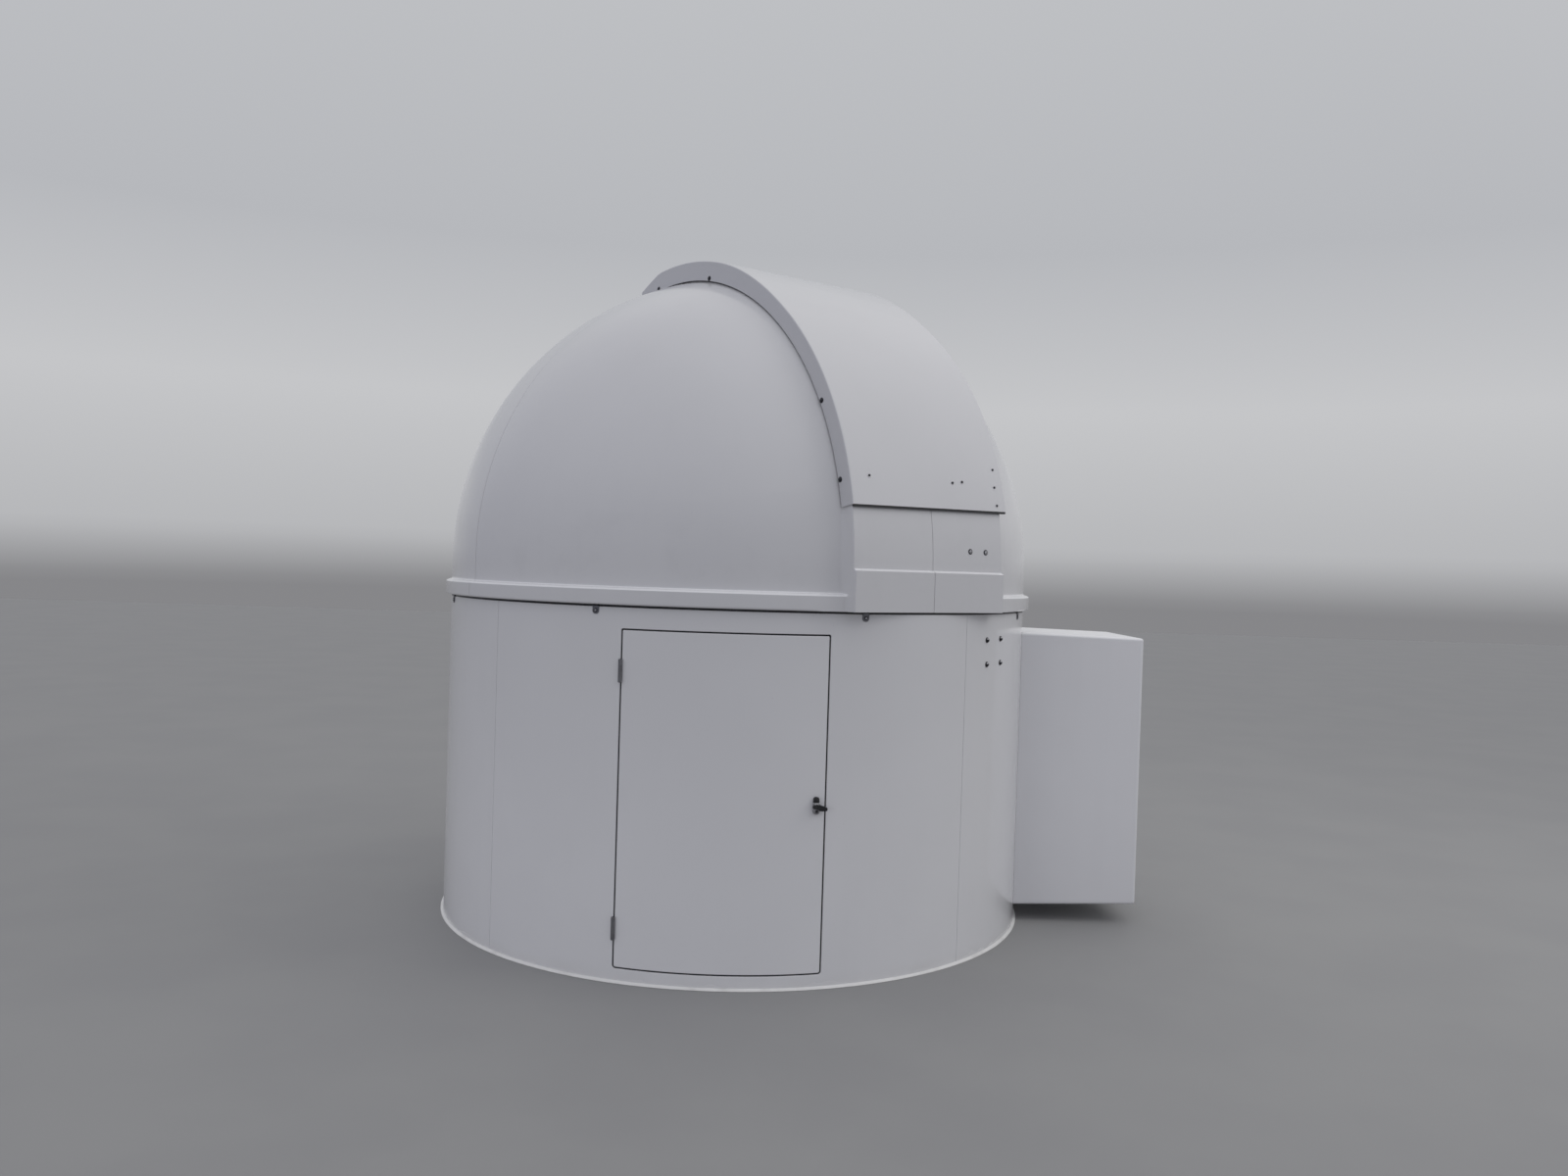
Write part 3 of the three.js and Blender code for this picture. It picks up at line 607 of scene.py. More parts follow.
def sheetWithHole(left, right, low, high, depth, hole=None):
    # A flat sheet of the wall. A hole has two sides, two heights, the sizes of its corners below and above,
    # and the size of its rounded edge
    bm = bmesh.new()
    addBlock(bm, (left, 0, low), (right, depth, high))
    if hole is None:
        softenEdges(bm, frontEdges(bm), wall["edge"])
        return bm
    sides, heights, corners, edgeSize = hole
    for side in sides:
        cut(bm, (side, 0, 0), alongX)
    for height in heights:
        cut(bm, (0, 0, height), alongZ)

    def inHole(point):
        return sides[0] < point.x < sides[1] and heights[0] < point.z < heights[1]

    dropFaces(bm, [face for face in bm.faces if abs(face.normal.y) > 0.5 and inHole(middleOf(face))])
    bmesh.ops.bridge_loops(bm, edges=[edge for edge in bm.edges if edge.is_boundary])
    roundCorners(bm, sides, heights, corners)
    faceOut(bm)

    def turnsDown(faces):
        return len(faces) == 2 and abs(faces[0].normal.dot(faces[1].normal)) < 0.5

    softenEdges(bm, [edge for edge in frontEdges(bm) if turnsDown(edge.link_faces)], edgeSize, 3)
    return bm


def sliceAcross(bm, half, count):
    # Cuts that let a face follow a curve across it
    for number in range(1 - count, count):
        cut(bm, (0, number * half / count, 0), alongY)


def rollUp(bm):
    # Upright cuts at even steps, then X becomes the bearing on the wall and Y the depth inwards
    step, radius = wall["slice"], wall["radius"]
    low = min(vert.co.x for vert in bm.verts)
    high = max(vert.co.x for vert in bm.verts)
    for count in range(math.ceil(low / step), math.floor(high / step) + 1):
        cut(bm, (count * step, 0, 0), alongX, 1e-5)
    for vert in bm.verts:
        bearing = vert.co.x / radius
        reach = radius - vert.co.y
        vert.co = (reach * math.sin(bearing), -reach * math.cos(bearing), vert.co.z)


def rollPanel(bm):
    # A rolled sheet with laminate on its inner face
    rollUp(bm)
    faceOut(bm)
    for face in bm.faces:
        centre = middleOf(face)
        if face.normal.x * centre.x + face.normal.y * centre.y < -0.5 * math.hypot(centre.x, centre.y):
            face.material_index = 1


def makeWalls():
    left, right = arcAt(-45) + wall["halfSeam"], arcAt(45) - wall["halfSeam"]
    half = wall["radius"] * math.asin(bay["openHalf"] / wall["radius"])
    doorSides = arcAt(doorway["left"]), arcAt(doorway["right"])
    doorHole = (doorSides, take(doorway, "bottom top"), *take(doorway, "corners edge"))
    bayHole = ((-half, half), take(bay, "openLow openHigh"), *take(bay, "openCorners openEdge"))
    quadrants = {
        "front": (0, doorHole, ("left", "right", "lintel", "sill")),
        "left": (-90, None, ()),
        "rear": (180, None, ()),
        "right": (90, bayHole, ("front", "rear", "over_bay", "under_bay"))}
    for name, (turn, hole, parts) in quadrants.items():
        bm = sheetWithHole(left, right, 0, wall["top"], wall["thick"], hole)
        rollPanel(bm)
        nodes = [f"{name}_wall_{part}" for part in parts] or [f"{name}_wall"]
        place = toAxis @ turned(turn, "Z")
        addPiece(f"{name}Wall", bm, place, "walls", (wallFinish, laminate), nodes)


doorwayRings = {
    "doorReturn": {"out": 0.0062, "into": -0.0008, "face": 0.0065, "back": 0.0291, "edge": 0.0003},
    "doorStop": {"out": 0.0062, "into": 0.0193, "face": 0.0290, "back": 0.0360, "edge": 0.0012},
    "doorShadeSeal": {"out": -0.003, "into": 0.014, "face": 0.0262, "back": 0.0291, "edge": 0.0009},
    "doorShadeLining": {"out": 0.0004, "into": 0.0025, "face": 0.0068, "back": 0.0284, "edge": 0.0008}}


def makeDoorFrame():
    # Rings round the doorway, measured from its outline: the return, and the stop that the door closes on,
    # with a black foam strip on the stop and a black rubber lining round the gap; their black is painted
    # shade in the door gap
    left, right = arcAt(doorway["left"]), arcAt(doorway["right"])
    low, high = take(doorway, "bottom top")
    for name, ring in doorwayRings.items():
        out, into, face, back, edge = take(ring, "out into face back edge")
        corners = [max(size - into, 0.001) for size in doorway["corners"]]
        hole = ((left + into, right - into), (low + into, high - into), corners, edge)
        bm = sheetWithHole(left - out, right + out, low - out, high + out, back - face, hole)
        bmesh.ops.translate(bm, vec=(0, face, 0), verts=bm.verts)
        rollUp(bm)
        closeUp(bm, 2e-5)
        if name in ("doorReturn", "doorStop"):
            addPiece(name, bm, toAxis, "walls", (wallFinish,))
        else:
            # The strip and the lining are black as painted shade in the door gap
            addPiece(name, bm, toAxis, "walls", (blackPlastic,))


def makeBay():
    # A box open towards the wall, its back edge cut to the wall's curve
    half, back, outer, middle = take(bay, "halfWidth back outer middle")
    onCurve = wall["radius"] + wall["clear"]
    bm = bmesh.new()
    addBlock(bm, (back, -half, bay["low"]), (outer, half, bay["high"]))
    outerEdges = [edge for edge in bm.edges if max(vert.co.x for vert in edge.verts) > back + 0.1]
    softenEdges(bm, outerEdges, bay["corner"], 4)
    dropFaces(bm, [face for face in bm.faces if middleOf(face).x < back + 1e-4])
    faceOut(bm)
    for face in facingInto(bm, middle):
        face.normal_flip()
    for vert in bm.verts:
        if vert.co.z < 0.2:
            vert.co.z += bay["rise"] * easeBetween(vert.co.x, wall["radius"], outer)
        elif vert.co.x < back + 1e-4:
            # The roof falls away from the wall, to shed rain
            vert.co.z += bay["fall"]
    sliceAcross(bm, half, bay["slices"])
    for vert in bm.verts:
        if vert.co.x < back + 1e-4:
            vert.co.x = math.sqrt(onCurve ** 2 - vert.co.y ** 2)
    bmesh.ops.solidify(bm, geom=bm.faces[:], thickness=bay["thick"])
    for vert in bm.verts:
        if math.hypot(vert.co.x, vert.co.y) < onCurve and vert.co.x > 1.1:
            vert.co.x = math.sqrt(onCurve ** 2 - vert.co.y ** 2)
    faceOut(bm)
    paint(facingInto(bm, middle), 1)
    addPiece("baySideBox", bm, toAxis, "walls", (bayFinish, laminate), ("bay_shell",))


ringSections = {
    "wallHeadRing": ("walls", "wall_head_ring", 1.262, 1.3137, 1.390, 1.398),
    "wallFootRing": ("walls", "wall_foot_ring", 1.262, 1.3137, 0.0, 0.008),
    "trackRing": ("dome", "track_ring", 1.235, 1.3175, 1.452, 1.4605)}


def makeRings():
    small = 0.0012
    for name, (body, node, inner, outer, low, high) in ringSections.items():
        outline = [
            (inner + small, low), (outer, low), (outer, high), (inner + small, high), (inner, high - small),
            (inner, low + small)]
        addPiece(name, closedRing(outline, 180), toAxis, body, (laminate,), (node,))


shadeBrush = {
    "inner": 1.3145, "outer": 1.3185, "low": 1.3983, "high": 1.4125, "edge": 0.0008, "clear": 0.70,
    "count": 8}


def makeHeadShadeBrush():
    # A black brush strip on the wall head, in lengths between the clips, that closes the gap under the dome;
    # its black is painted shade, standing in for the dark gap
    bm = bmesh.new()
    spacing = 360 / shadeBrush["count"]
    section = chamferedStrip(*take(shadeBrush, "inner outer low high edge"))
    for number in range(shadeBrush["count"]):
        before = set(bm.verts)
        points = [(radius, 0, height) for radius, height in section]
        sweep(bm, points, base, alongZ, spacing - 2 * shadeBrush["clear"], 20)
        turn = (number + 0.5) * spacing + shadeBrush["clear"] - 90
        move(bm, toAxis @ turned(turn, "Z"), madeSince(bm, before))
    faceOut(bm)
    addPiece("headShadeBrush", bm, inPlace, "walls", (blackPlastic,))


flange = {
    "inner": 1.270, "outer": 1.3137, "thick": 0.0055, "gap": 0.0001, "wallLow": 0.0085, "wallHigh": 1.3895,
    "edge": 0.0008, "domeLow": 1.462, "boltReach": 1.290, "firstBolt": 0.10, "boltStep": 0.24}
flangeSides = [sorted((side * flange["gap"], side * flange["thick"])) for side in (-1, 1)]


def flangeBolt(bm, place):
    # A hexagon bolt and its nut through both flanges; local Y runs through them
    seat = flange["thick"] + 0.0014
    for turn in (0, 180):
        side = place @ turned(90, "X") @ turned(turn, "X")
        addDisc(bm, 0.0105, flange["thick"] - 0.0003, seat, side, 20, 1)
        addDisc(bm, 0.0072, seat, seat + 0.0050, side, 6, 2)


def makeWallFlanges():
    # Inside flanges where two wall mouldings are bolted together
    for name, bearing in {"FrontLeft": -45, "FrontRight": 45, "RearLeft": -135, "RearRight": 135}.items():
        bm = bmesh.new()
        place = onWall(0, bearing, 0)
        for near, far in flangeSides:
            low = (flange["inner"], near, flange["wallLow"])
            softBlock(bm, low, (flange["outer"], far, flange["wallHigh"]), flange["edge"], place)
        for count in range(6):
            height = flange["firstBolt"] + flange["boltStep"] * count
            flangeBolt(bm, place @ moved(flange["boltReach"], 0, height))
        addPiece(f"wallFlanges{name}", bm, inPlace, "walls", flangeFinishes)


seal = {"width": 0.0120, "height": 0.0088, "lift": 0.0004, "waver": 0.0014, "steps": 360}


def makeSeal():
    # A hand-run bead in the corner of wall and floor: a squarish quarter round that wavers
    inner = wall["radius"] + wall["clear"]
    width, height, lift, waver = take(seal, "width height lift waver")
    outline = [(inner, lift)]
    for turn in range(0, 91, 15):
        angle = math.radians(turn)
        bulge = 0.82 + 0.18 * abs(math.cos(2 * angle))
        outline.append((inner + width * math.cos(angle) * bulge, lift + height * math.sin(angle) * bulge))
    bm = closedRing(outline, seal["steps"])
    for vert in bm.verts:
        reach = math.hypot(vert.co.x, vert.co.y)
        out = reach - inner
        sway = noise.noise(vert.co * 5.0) + 0.5 * noise.noise(vert.co * 19.0)
        if out > 1e-4:
            scale = (reach + min(sway, 0.3) * waver * out / width) / reach
            vert.co.x *= scale
            vert.co.y *= scale
        if vert.co.z > 0.002:
            vert.co.z += min(sway, 0.1) * waver
    addPiece("footSealant", bm, toAxis, "walls", (sealant,), ("base_seal",), 60)


makeWalls()
makeDoorFrame()
makeBay()
makeRings()
makeHeadShadeBrush()
makeWallFlanges()
makeSeal()
print("walls, bay, rings and sealant made")


# Door, hinges, handle and lever

door = {"gap": 0.006, "thick": 0.022, "edge": 0.003, "corners": (0.008, 0.004)}
hinge = {
    "radius": 1.328, "height": 0.086, "knuckle": 0.007, "chamfer": 0.0006, "gap": 0.0004, "pin": 0.003,
    "leaf": 0.0023, "inset": 0.0004, "reach": 0.024, "root": 0.0085, "grip": 0.002,
    "heights": {"Lower": 0.203, "Upper": 1.163}}


def makeDoor():
    gap = door["gap"]
    left, right = arcAt(doorway["left"]) + gap, arcAt(doorway["right"]) - gap
    low, high = doorway["bottom"] + gap, doorway["top"] - gap
    bm = bmesh.new()
    addBlock(bm, (left, 0, low), (right, door["thick"], high))
    roundCorners(bm, (left, right), (low, high), door["corners"])
    softenEdges(bm, frontEdges(bm), door["edge"], 4)
    rollPanel(bm)
    addPiece("doorPanel", bm, toAxis, "door", (doorFinish, laminate), ("door_panel",))


def makeHingeLeaf(bm, place, side, knuckles, comb):
    # The comb is the lower half of the leaf's outline, as (distance from the pin, height)
    radius, small = hinge["knuckle"], hinge["chamfer"]
    for low, high in knuckles:
        turnPart(
            bm, [(0, low), (radius - small, low), (radius, low + small), (radius, high - small),
                 (radius - small, high), (0, high)], place)
    if side < 0:
        pin, end = hinge["pin"], hinge["height"] / 2
        head = [(0, end - 0.001), (pin, end - 0.001), (pin, end + 0.0012), (0, end + 0.0018)]
        turnPart(bm, head, place, 14)
        turnPart(bm, [(reach, -height) for reach, height in reversed(head)], place, 14)
    before = set(bm.verts)
    points = [(-reach, side * hinge["inset"], height) for reach, height in withMirror(comb)]
    raiseFaces(bm, [fillOutline(bm, points)], (0, side * hinge["leaf"], 0))
    leaf = madeSince(bm, before)
    bmesh.ops.recalc_face_normals(bm, faces=facesWithin(leaf))
    move(bm, place, leaf)


def makeHinges():
    bearing = doorway["left"] + math.degrees(door["gap"] / 2 / wall["radius"])
    half, inner = hinge["height"] / 2, hinge["height"] / 3 / 2
    outer = inner + hinge["gap"]
    reach, root, grip = take(hinge, "reach root grip")
    leaves = {
        "wall": ("walls", -1, ((outer, half), (-half, -outer)),
                 [(reach, -half), (grip, -half), (grip, -outer), (root, -outer)]),
        "door": ("door", 1, ((-inner, inner),),
                 [(reach, -half), (root, -half), (root, -inner), (grip, -inner)])}
    for name, height in hinge["heights"].items():
        for part, (body, side, knuckles, comb) in leaves.items():
            bm = bmesh.new()
            makeHingeLeaf(bm, onWall(hinge["radius"], bearing, height), side, knuckles, comb)
            addPiece(
                f"hinge{name}{part.capitalize()}Leaf", bm, inPlace, body, (hingeSteel,),
                (f"hinge_{name.lower()}_{part}_leaf",))


# Turned shapes are (radius, distance out of the door), and blocks are two corners in the handle's own frame
handle = {
    "bearing": 14.8, "height": 0.683, "lock": -0.018,
    "housing": ((0.0008, -0.0122, -0.018), (0.0150, 0.0122, 0.0135)), "housingRound": 0.0030,
    "housingFoot": ((0, 0.0165), (0.0098, 0.0165), (0.0118, 0.0145), (0.0122, 0.0008), (0, 0.0008)),
    "collar": ((0, 0.0130), (0.0112, 0.0130), (0.0112, 0.0158), (0.0100, 0.0168), (0, 0.0168)),
    "cap": ((0.0008, -0.0115, 0.0128), (0.0165, 0.0115, 0.035)), "capTop": 0.035, "capTaper": 0.84,
    "capReach": 0.0145, "crownRound": 0.0075, "capRound": 0.0050,
    "bow": ((0.0018, -0.0126, 0.0100), (0.0169, 0.0126, 0.0138)), "bowRound": 0.0017,
    "barrel": ((0, 0.0160), (0.0074, 0.0160), (0.0074, 0.0167), (0.0070, 0.0169), (0, 0.0169)),
    "keyRound": (0.0038, 0.0165, 0.01702), "keyOffset": 0.0014,
    "keySlot": ((0.0166, -0.0010, -0.022), (0.01705, 0.0010, -0.0166)), "keySlotRound": 0.0002}


def makeHandle():
    # A bright upright housing with a round lock at its foot and a black cap over its head
    place = onWall(wall["radius"], handle["bearing"], handle["height"])
    under = place @ moved(0, 0, handle["lock"]) @ outward
    top = handle["capTop"]
    bm = bmesh.new()
    turnPart(bm, handle["housingFoot"], under, 32)
    softBlock(bm, *handle["housing"], handle["housingRound"], place, 4)
    turnPart(bm, handle["collar"], place @ outward, 28, 1)
    # Cap, narrower towards its rounded head
    before = set(bm.verts)
    verts = addBlock(bm, *handle["cap"])
    for vert in verts:
        if vert.co.z > top - 0.001:
            vert.co.y *= handle["capTaper"]
            vert.co.x = min(vert.co.x, handle["capReach"])
    crown = [edge for edge in edgesPast(edgesWithin(verts), 2, top - 0.002) if spanOf(edge, 0) > 0.004]
    softenEdges(bm, crown, handle["crownRound"], 5)
    front = edgesPast(edgesWithin(madeSince(bm, before)), 0, handle["capReach"] - 0.0005)
    softenEdges(bm, front, handle["capRound"], 5)
    fresh = madeSince(bm, before)
    paint(facesWithin(fresh), 3)
    move(bm, place, fresh)
    # Bright bow between the cap and the lever, then the lock barrel and its keyhole
    softBlock(bm, *handle["bow"], handle["bowRound"], place, 3, 1)
    turnPart(bm, handle["barrel"], under, 28, 2)
    addDisc(bm, *handle["keyRound"], under @ moved(-handle["keyOffset"], 0, 0), 18, 3)
    softBlock(bm, *handle["keySlot"], handle["keySlotRound"], place, 1, 3)
    finishes = (lockMetal, chrome, handleMetal, blackPlastic)
    addPiece("handleBody", bm, inPlace, "door", finishes, ("handle_body",))


lever = {
    "inner": 0.0173, "outer": 0.0253, "round": 0.0022,
    "outline": (
        (-0.0185, -0.002), (-0.0175, 0.004), (-0.012, 0.0078), (-0.002, 0.0090), (0.012, 0.0072),
        (0.026, 0.0025), (0.036, -0.0015), (0.0395, -0.0050), (0.0390, -0.0125), (0.036, -0.0155),
        (0.020, -0.0162), (0.009, -0.0150), (0.003, -0.0095), (-0.008, -0.0074), (-0.015, -0.0060)),
    "hub": ((0, 0.0133), (0.0084, 0.0133), (0.0090, 0.0150), (0.0086, 0.0180), (0, 0.0180)),
    "cap": ((0, 0.0250), (0.0052, 0.0250), (0.0048, 0.0262), (0, 0.0265)),
    "spindle": (0.0050, -0.0330, 0.0140),
    "knob": (
        (0, -0.0350), (0.0080, -0.0350), (0.0116, -0.0325), (0.0120, -0.0290), (0.0105, -0.0245),
        (0.0085, -0.0235), (0, -0.0235))}


def makeLever():
    # A wing lever on its hub, rounded all over, with a spindle through the door to a knob inside
    place = onWall(wall["radius"], handle["bearing"], handle["height"])
    bm = bmesh.new()
    outline = [(lever["inner"], along, height) for along, height in lever["outline"]]
    raiseFaces(bm, [fillOutline(bm, outline)], (lever["outer"] - lever["inner"], 0, 0))
    faceOut(bm)
    softenEdges(bm, [edge for edge in bm.edges if spanOf(edge, 0) < 1e-5], lever["round"], 3)
    move(bm, place)
    turnPart(bm, lever["hub"], place @ outward, 28)
    turnPart(bm, lever["cap"], place @ outward, 24)
    addDisc(bm, *lever["spindle"], place @ outward, 16, 1)
    turnPart(bm, lever["knob"], place @ outward, 28)
    finishes = (blackPlastic, handleMetal)
    addPiece("latchLever", bm, inPlace, "latch", finishes, ("latch_lever",))


makeDoor()
makeHinges()
makeHandle()
makeLever()
print("door, hinges and handle made")


# Dome: four mouldings, each with its part of the skirt; the two front ones carry the fixed panel

dome = {
    "radius": 1.3193, "thick": 0.005, "halfSeam": 0.0005, "crossSeam": 0.0011, "step": 2.0,
    "seamEdge": 0.0018, "seamDip": 0.0011,
    "ringRadius": 1.3440, "footHeights": (1.4070, 1.4077, 1.4089, 1.4107, 1.4128, 1.4152, 1.4616),
    "shoulder": (
        (1.3436, 1.4634), (1.3424, 1.4650), (1.3390, 1.4678), (1.3350, 1.4700), (1.3305, 1.4714),
        (1.3255, 1.4722), (1.3218, 1.4738), (1.3200, 1.4771), (1.3193, 1.4822), (1.3193, 1.5200)),
    "footRound": 0.0082, "footCentre": 1.4152, "footFrom": 22.0, "footFull": 25.0,
    "slitHalf": 0.388, "slitRear": -0.166}
panel = {
    "foot": 1.3285, "radius": 1.314, "ledge": 1.5612, "ledgeRise": 0.0080, "topElevation": 13.5,
    "half": {"left": 0.399, "right": 0.3825}, "halfFrom": 11.2, "halfTo": 13.2,
    "corner": 0.007, "cornerStart": 15.7, "flareRing": 0.028, "flareDome": 0.046, "flareLeast": 0.006,
    "flareEnd": 7.0, "flareGone": 9.6, "widest": 21.5, "highest": 16}


def softMin(first, second, width):
    overlap = max(width - abs(first - second), 0.0) / width
    return min(first, second) - overlap * overlap * width / 4


def softMax(first, second, width):
    return -softMin(-first, -second, width)


def setReach(vert, target):
    reach = math.hypot(vert.co.x, vert.co.y)
    vert.co.x *= target / reach
    vert.co.y *= target / reach


def panelReach(bearing, height, half):
    # How far the fixed panel's box stands out from the axis, at a bearing counted from the slit
    above = math.sqrt(panel["radius"] ** 2 - (height - domeCentre) ** 2)
    share = shareOf(height, panel["ledge"], panel["ledge"] + panel["ledgeRise"])
    face = (panel["foot"] + (above - panel["foot"]) * share) / math.cos(bearing)
    if bearing < math.radians(8):
        return face
    return softMin(face, half / math.sin(bearing), panel["corner"])


def quarterSkin(front):
    # The outside of one quarter in the slit's frame: X along the slit, Y to its right
    bm = bmesh.new()
    points = [(dome["ringRadius"], 0, height) for height in dome["footHeights"]]
    points += [(radius, 0, height) for radius, height in dome["shoulder"]]
    geometry = drawLine(bm, points + [(dome["radius"], 0, domeCentre)])
    spinRound(bm, [geometry[len(points)]], hub, (0, -1, 0), 90, 45)
    if not front:
        move(bm, turned(90, "Z"))
    spinRound(bm, bm.verts[:] + bm.edges[:], base, alongZ, 90, round(90 / dome["step"]))
    bmesh.ops.remove_doubles(bm, verts=bm.verts, dist=1e-6)
    faceOut(bm)
    for face in facingInto(bm, (0, 0, 1.0)):
        face.normal_flip()
    across = (1 if front else -1, 0, 0)
    for count in (2, 1, 0):
        for normal, half in ((across, dome["crossSeam"]), (alongY, dome["halfSeam"])):
            spot = Vector(normal) * (half + count * dome["seamEdge"])
            cut(bm, spot, normal, 1e-7, clear=count == 0)
    return bm


def refineForPanel(bm):
    # Upright cuts beside the panel's corner and its flare, by bearing, then level cuts at its ledge
    stations = [15.3, 15.6] + [15.9 + 0.06 * count for count in range(14)]
    stations += [16.8 + 0.08 * count for count in range(18)] + [18.4, 18.7, 19.1, 19.7, 20.5, 21.2]
    for station in stations:
        angle = math.radians(station)
        near = [face for face in bm.faces if middleOf(face).z < 2.0]
        cut(bm, base, (-math.sin(angle), math.cos(angle), 0), 1e-7, withEdges(near))
    ledge = panel["ledge"]
    for height in (1.54, 1.555, ledge, ledge + panel["ledgeRise"], 1.58, 1.60):
        cut(bm, (0, 0, height), alongZ, 1e-5)


def standPanelOut(bm, sideHalf):
    flareRing, flareDome, halfFrom, halfTo = take(panel, "flareRing flareDome halfFrom halfTo")
    for vert in bm.verts:
        bearing = math.atan2(vert.co.y, vert.co.x)
        reach = math.hypot(vert.co.x, vert.co.y)
        elevation = math.degrees(math.atan2(vert.co.z - domeCentre, reach * math.cos(bearing)))
        if bearing > math.radians(panel["widest"]) or elevation > panel["highest"]:
            continue
        flare = flareRing + (flareDome - flareRing) * easeBetween(vert.co.z, 1.47, 1.53)
        flare *= 1 - easeBetween(elevation, panel["flareEnd"], panel["flareGone"])
        flare += panel["flareLeast"]
        # Under the shutter the panel's sides run in to the slit's own width
        half = sideHalf + (dome["slitHalf"] - sideHalf) * easeBetween(elevation, halfFrom, halfTo)
        stands = panelReach(bearing, vert.co.z, half)
        besideCorner = bearing >= math.radians(panel["cornerStart"])
        setReach(vert, softMax(reach, stands, flare) if besideCorner else stands)


def roundSkirtFoot(bm, front):
    # The ring's lower edge is rounded, except where it runs into the panel
    size = dome["footRound"]
    for vert in bm.verts:
        below = dome["footCentre"] - vert.co.z
        if below > 0:
            bearing = math.degrees(math.atan2(vert.co.y, vert.co.x))
            fade = easeBetween(bearing, dome["footFrom"], dome["footFull"]) if front else 1
            drawnIn = (size - math.sqrt(max(size ** 2 - below ** 2, 0))) * fade
            setReach(vert, math.hypot(vert.co.x, vert.co.y) - drawnIn)


def openSlit(bm, front):
    top = math.radians(panel["topElevation"])
    normal = Vector((-math.sin(top), 0, math.cos(top))) if front else Vector(alongX)
    origin = hub if front else Vector((dome["slitRear"], 0, 0))
    cut(bm, origin, normal)

    def inSlit(face):
        return (middleOf(face) - origin).dot(normal) > 0 and middleOf(face).z > domeCentre

    chosen = [face for face in bm.faces if inSlit(face)]
    cut(bm, (0, dome["slitHalf"], 0), alongY, geometry=withEdges(chosen))
    dropFaces(bm, [face for face in bm.faces if inSlit(face) and middleOf(face).y < dome["slitHalf"]])


def dipSeams(bm):
    # The outer edge of each moulding is rounded where two of them meet
    for vert in bm.verts:
        for distance, half in ((abs(vert.co.x), dome["crossSeam"]), (abs(vert.co.y), dome["halfSeam"])):
            if distance < half + 1e-5:
                rise = max(vert.co.z - domeCentre, 0)
                vert.co -= Vector((vert.co.x, vert.co.y, rise)).normalized() * dome["seamDip"]


def makeDomeQuarter(end, side):
    front = end == "front"
    bm = quarterSkin(front)
    if front:
        refineForPanel(bm)
        standPanelOut(bm, panel["half"][side])
    roundSkirtFoot(bm, front)
    openSlit(bm, front)
    dipSeams(bm)
    bmesh.ops.dissolve_degenerate(bm, edges=bm.edges, dist=1e-6)
    bmesh.ops.solidify(bm, geom=bm.faces[:], thickness=dome["thick"])
    paint(facingInto(bm, (0, 0, 1.2)), 1)
    if side == "left":
        move(bm, Matrix.Diagonal((1, -1, 1, 1)))
        bmesh.ops.reverse_faces(bm, faces=bm.faces)
    nodes = [f"dome_{end}_{side}", f"skirt_{end}_{side}"] + [f"slit_panel_{side}"] * front
    name = f"dome{end.capitalize()}{side.capitalize()}"
    addPiece(name, bm, slitTurn, "dome", (domeFinish, laminate), nodes, 40)


slitTrim = {
    "inner": 0.382, "outer": 0.388, "low": 1.250, "high": 1.306, "edge": 0.0012, "start": 13.55, "end": 97.0,
    "stripInner": 0.387, "stripOuter": 0.3966, "stripLow": 1.262, "stripHigh": 1.2662, "stripEnd": 181.0}
rearLip = {"plane": -0.1603, "half": 0.3815, "depth": 0.029, "inset": 0.001, "thick": 0.0055}


def overSlit(radius, lateral, elevation):
    angle = math.radians(elevation)
    return Vector((radius * math.cos(angle), lateral, domeCentre + radius * math.sin(angle)))


def sweepOver(bm, section, start, end, steps):
    # A closed (lateral, radius) section swept up and over the slit
    points = [overSlit(radius, lateral, start) for lateral, radius in section]
    sweep(bm, points, hub, (0, -1, 0), end - start, steps)


def makeSlitTrim():
    upstand = chamferedStrip(*take(slitTrim, "inner outer low high edge"))
    strip = rectangle(*take(slitTrim, "stripInner stripOuter stripLow stripHigh"))
    for name, side in (("Left", -1), ("Right", 1)):
        bm = bmesh.new()
        for section, end, steps in ((upstand, slitTrim["end"], 56), (strip, slitTrim["stripEnd"], 112)):
            section = [(side * lateral, radius) for lateral, radius in section]
            sweepOver(bm, section, slitTrim["start"], end, steps)
        faceOut(bm)
        node = f"slit_upstand_{name.lower()}"
        addPiece(f"slitUpstand{name}", bm, slitTurn, "dome", (domeFinish,), (node,))


def makeSlitRearLip():
    # The turned-down edge across the slit's rear end
    bm = bmesh.new()
    plane = rearLip["plane"]
    outer = math.sqrt(dome["radius"] ** 2 - plane ** 2) - rearLip["inset"]
    reach = math.degrees(math.asin(rearLip["half"] / outer))
    edge = drawLine(bm, [(plane, 0, domeCentre + outer - rearLip["depth"]), (plane, 0, domeCentre + outer)])
    move(bm, moved(0, 0, domeCentre) @ turned(-reach, "X") @ moved(0, 0, -domeCentre))
    spinRound(bm, edge, (plane, 0, domeCentre), alongX, 2 * reach, 24)
    faceOut(bm)
    raiseFaces(bm, bm.faces[:], (-rearLip["thick"], 0, 0))
    faceOut(bm)
    addPiece("slitRearLip", bm, slitTurn, "dome", (domeFinish,), ("slit_rear_lip",))


domeFlanges = {
    "Front": {"turn": 0, "high": 13.3, "drop": 0.0052},
    "Rear": {"turn": 180, "high": 82.2, "drop": 0},
    "Left": {"turn": -90, "high": 72.0, "drop": 0},
    "Right": {"turn": 90, "high": 72.0, "drop": 0}}


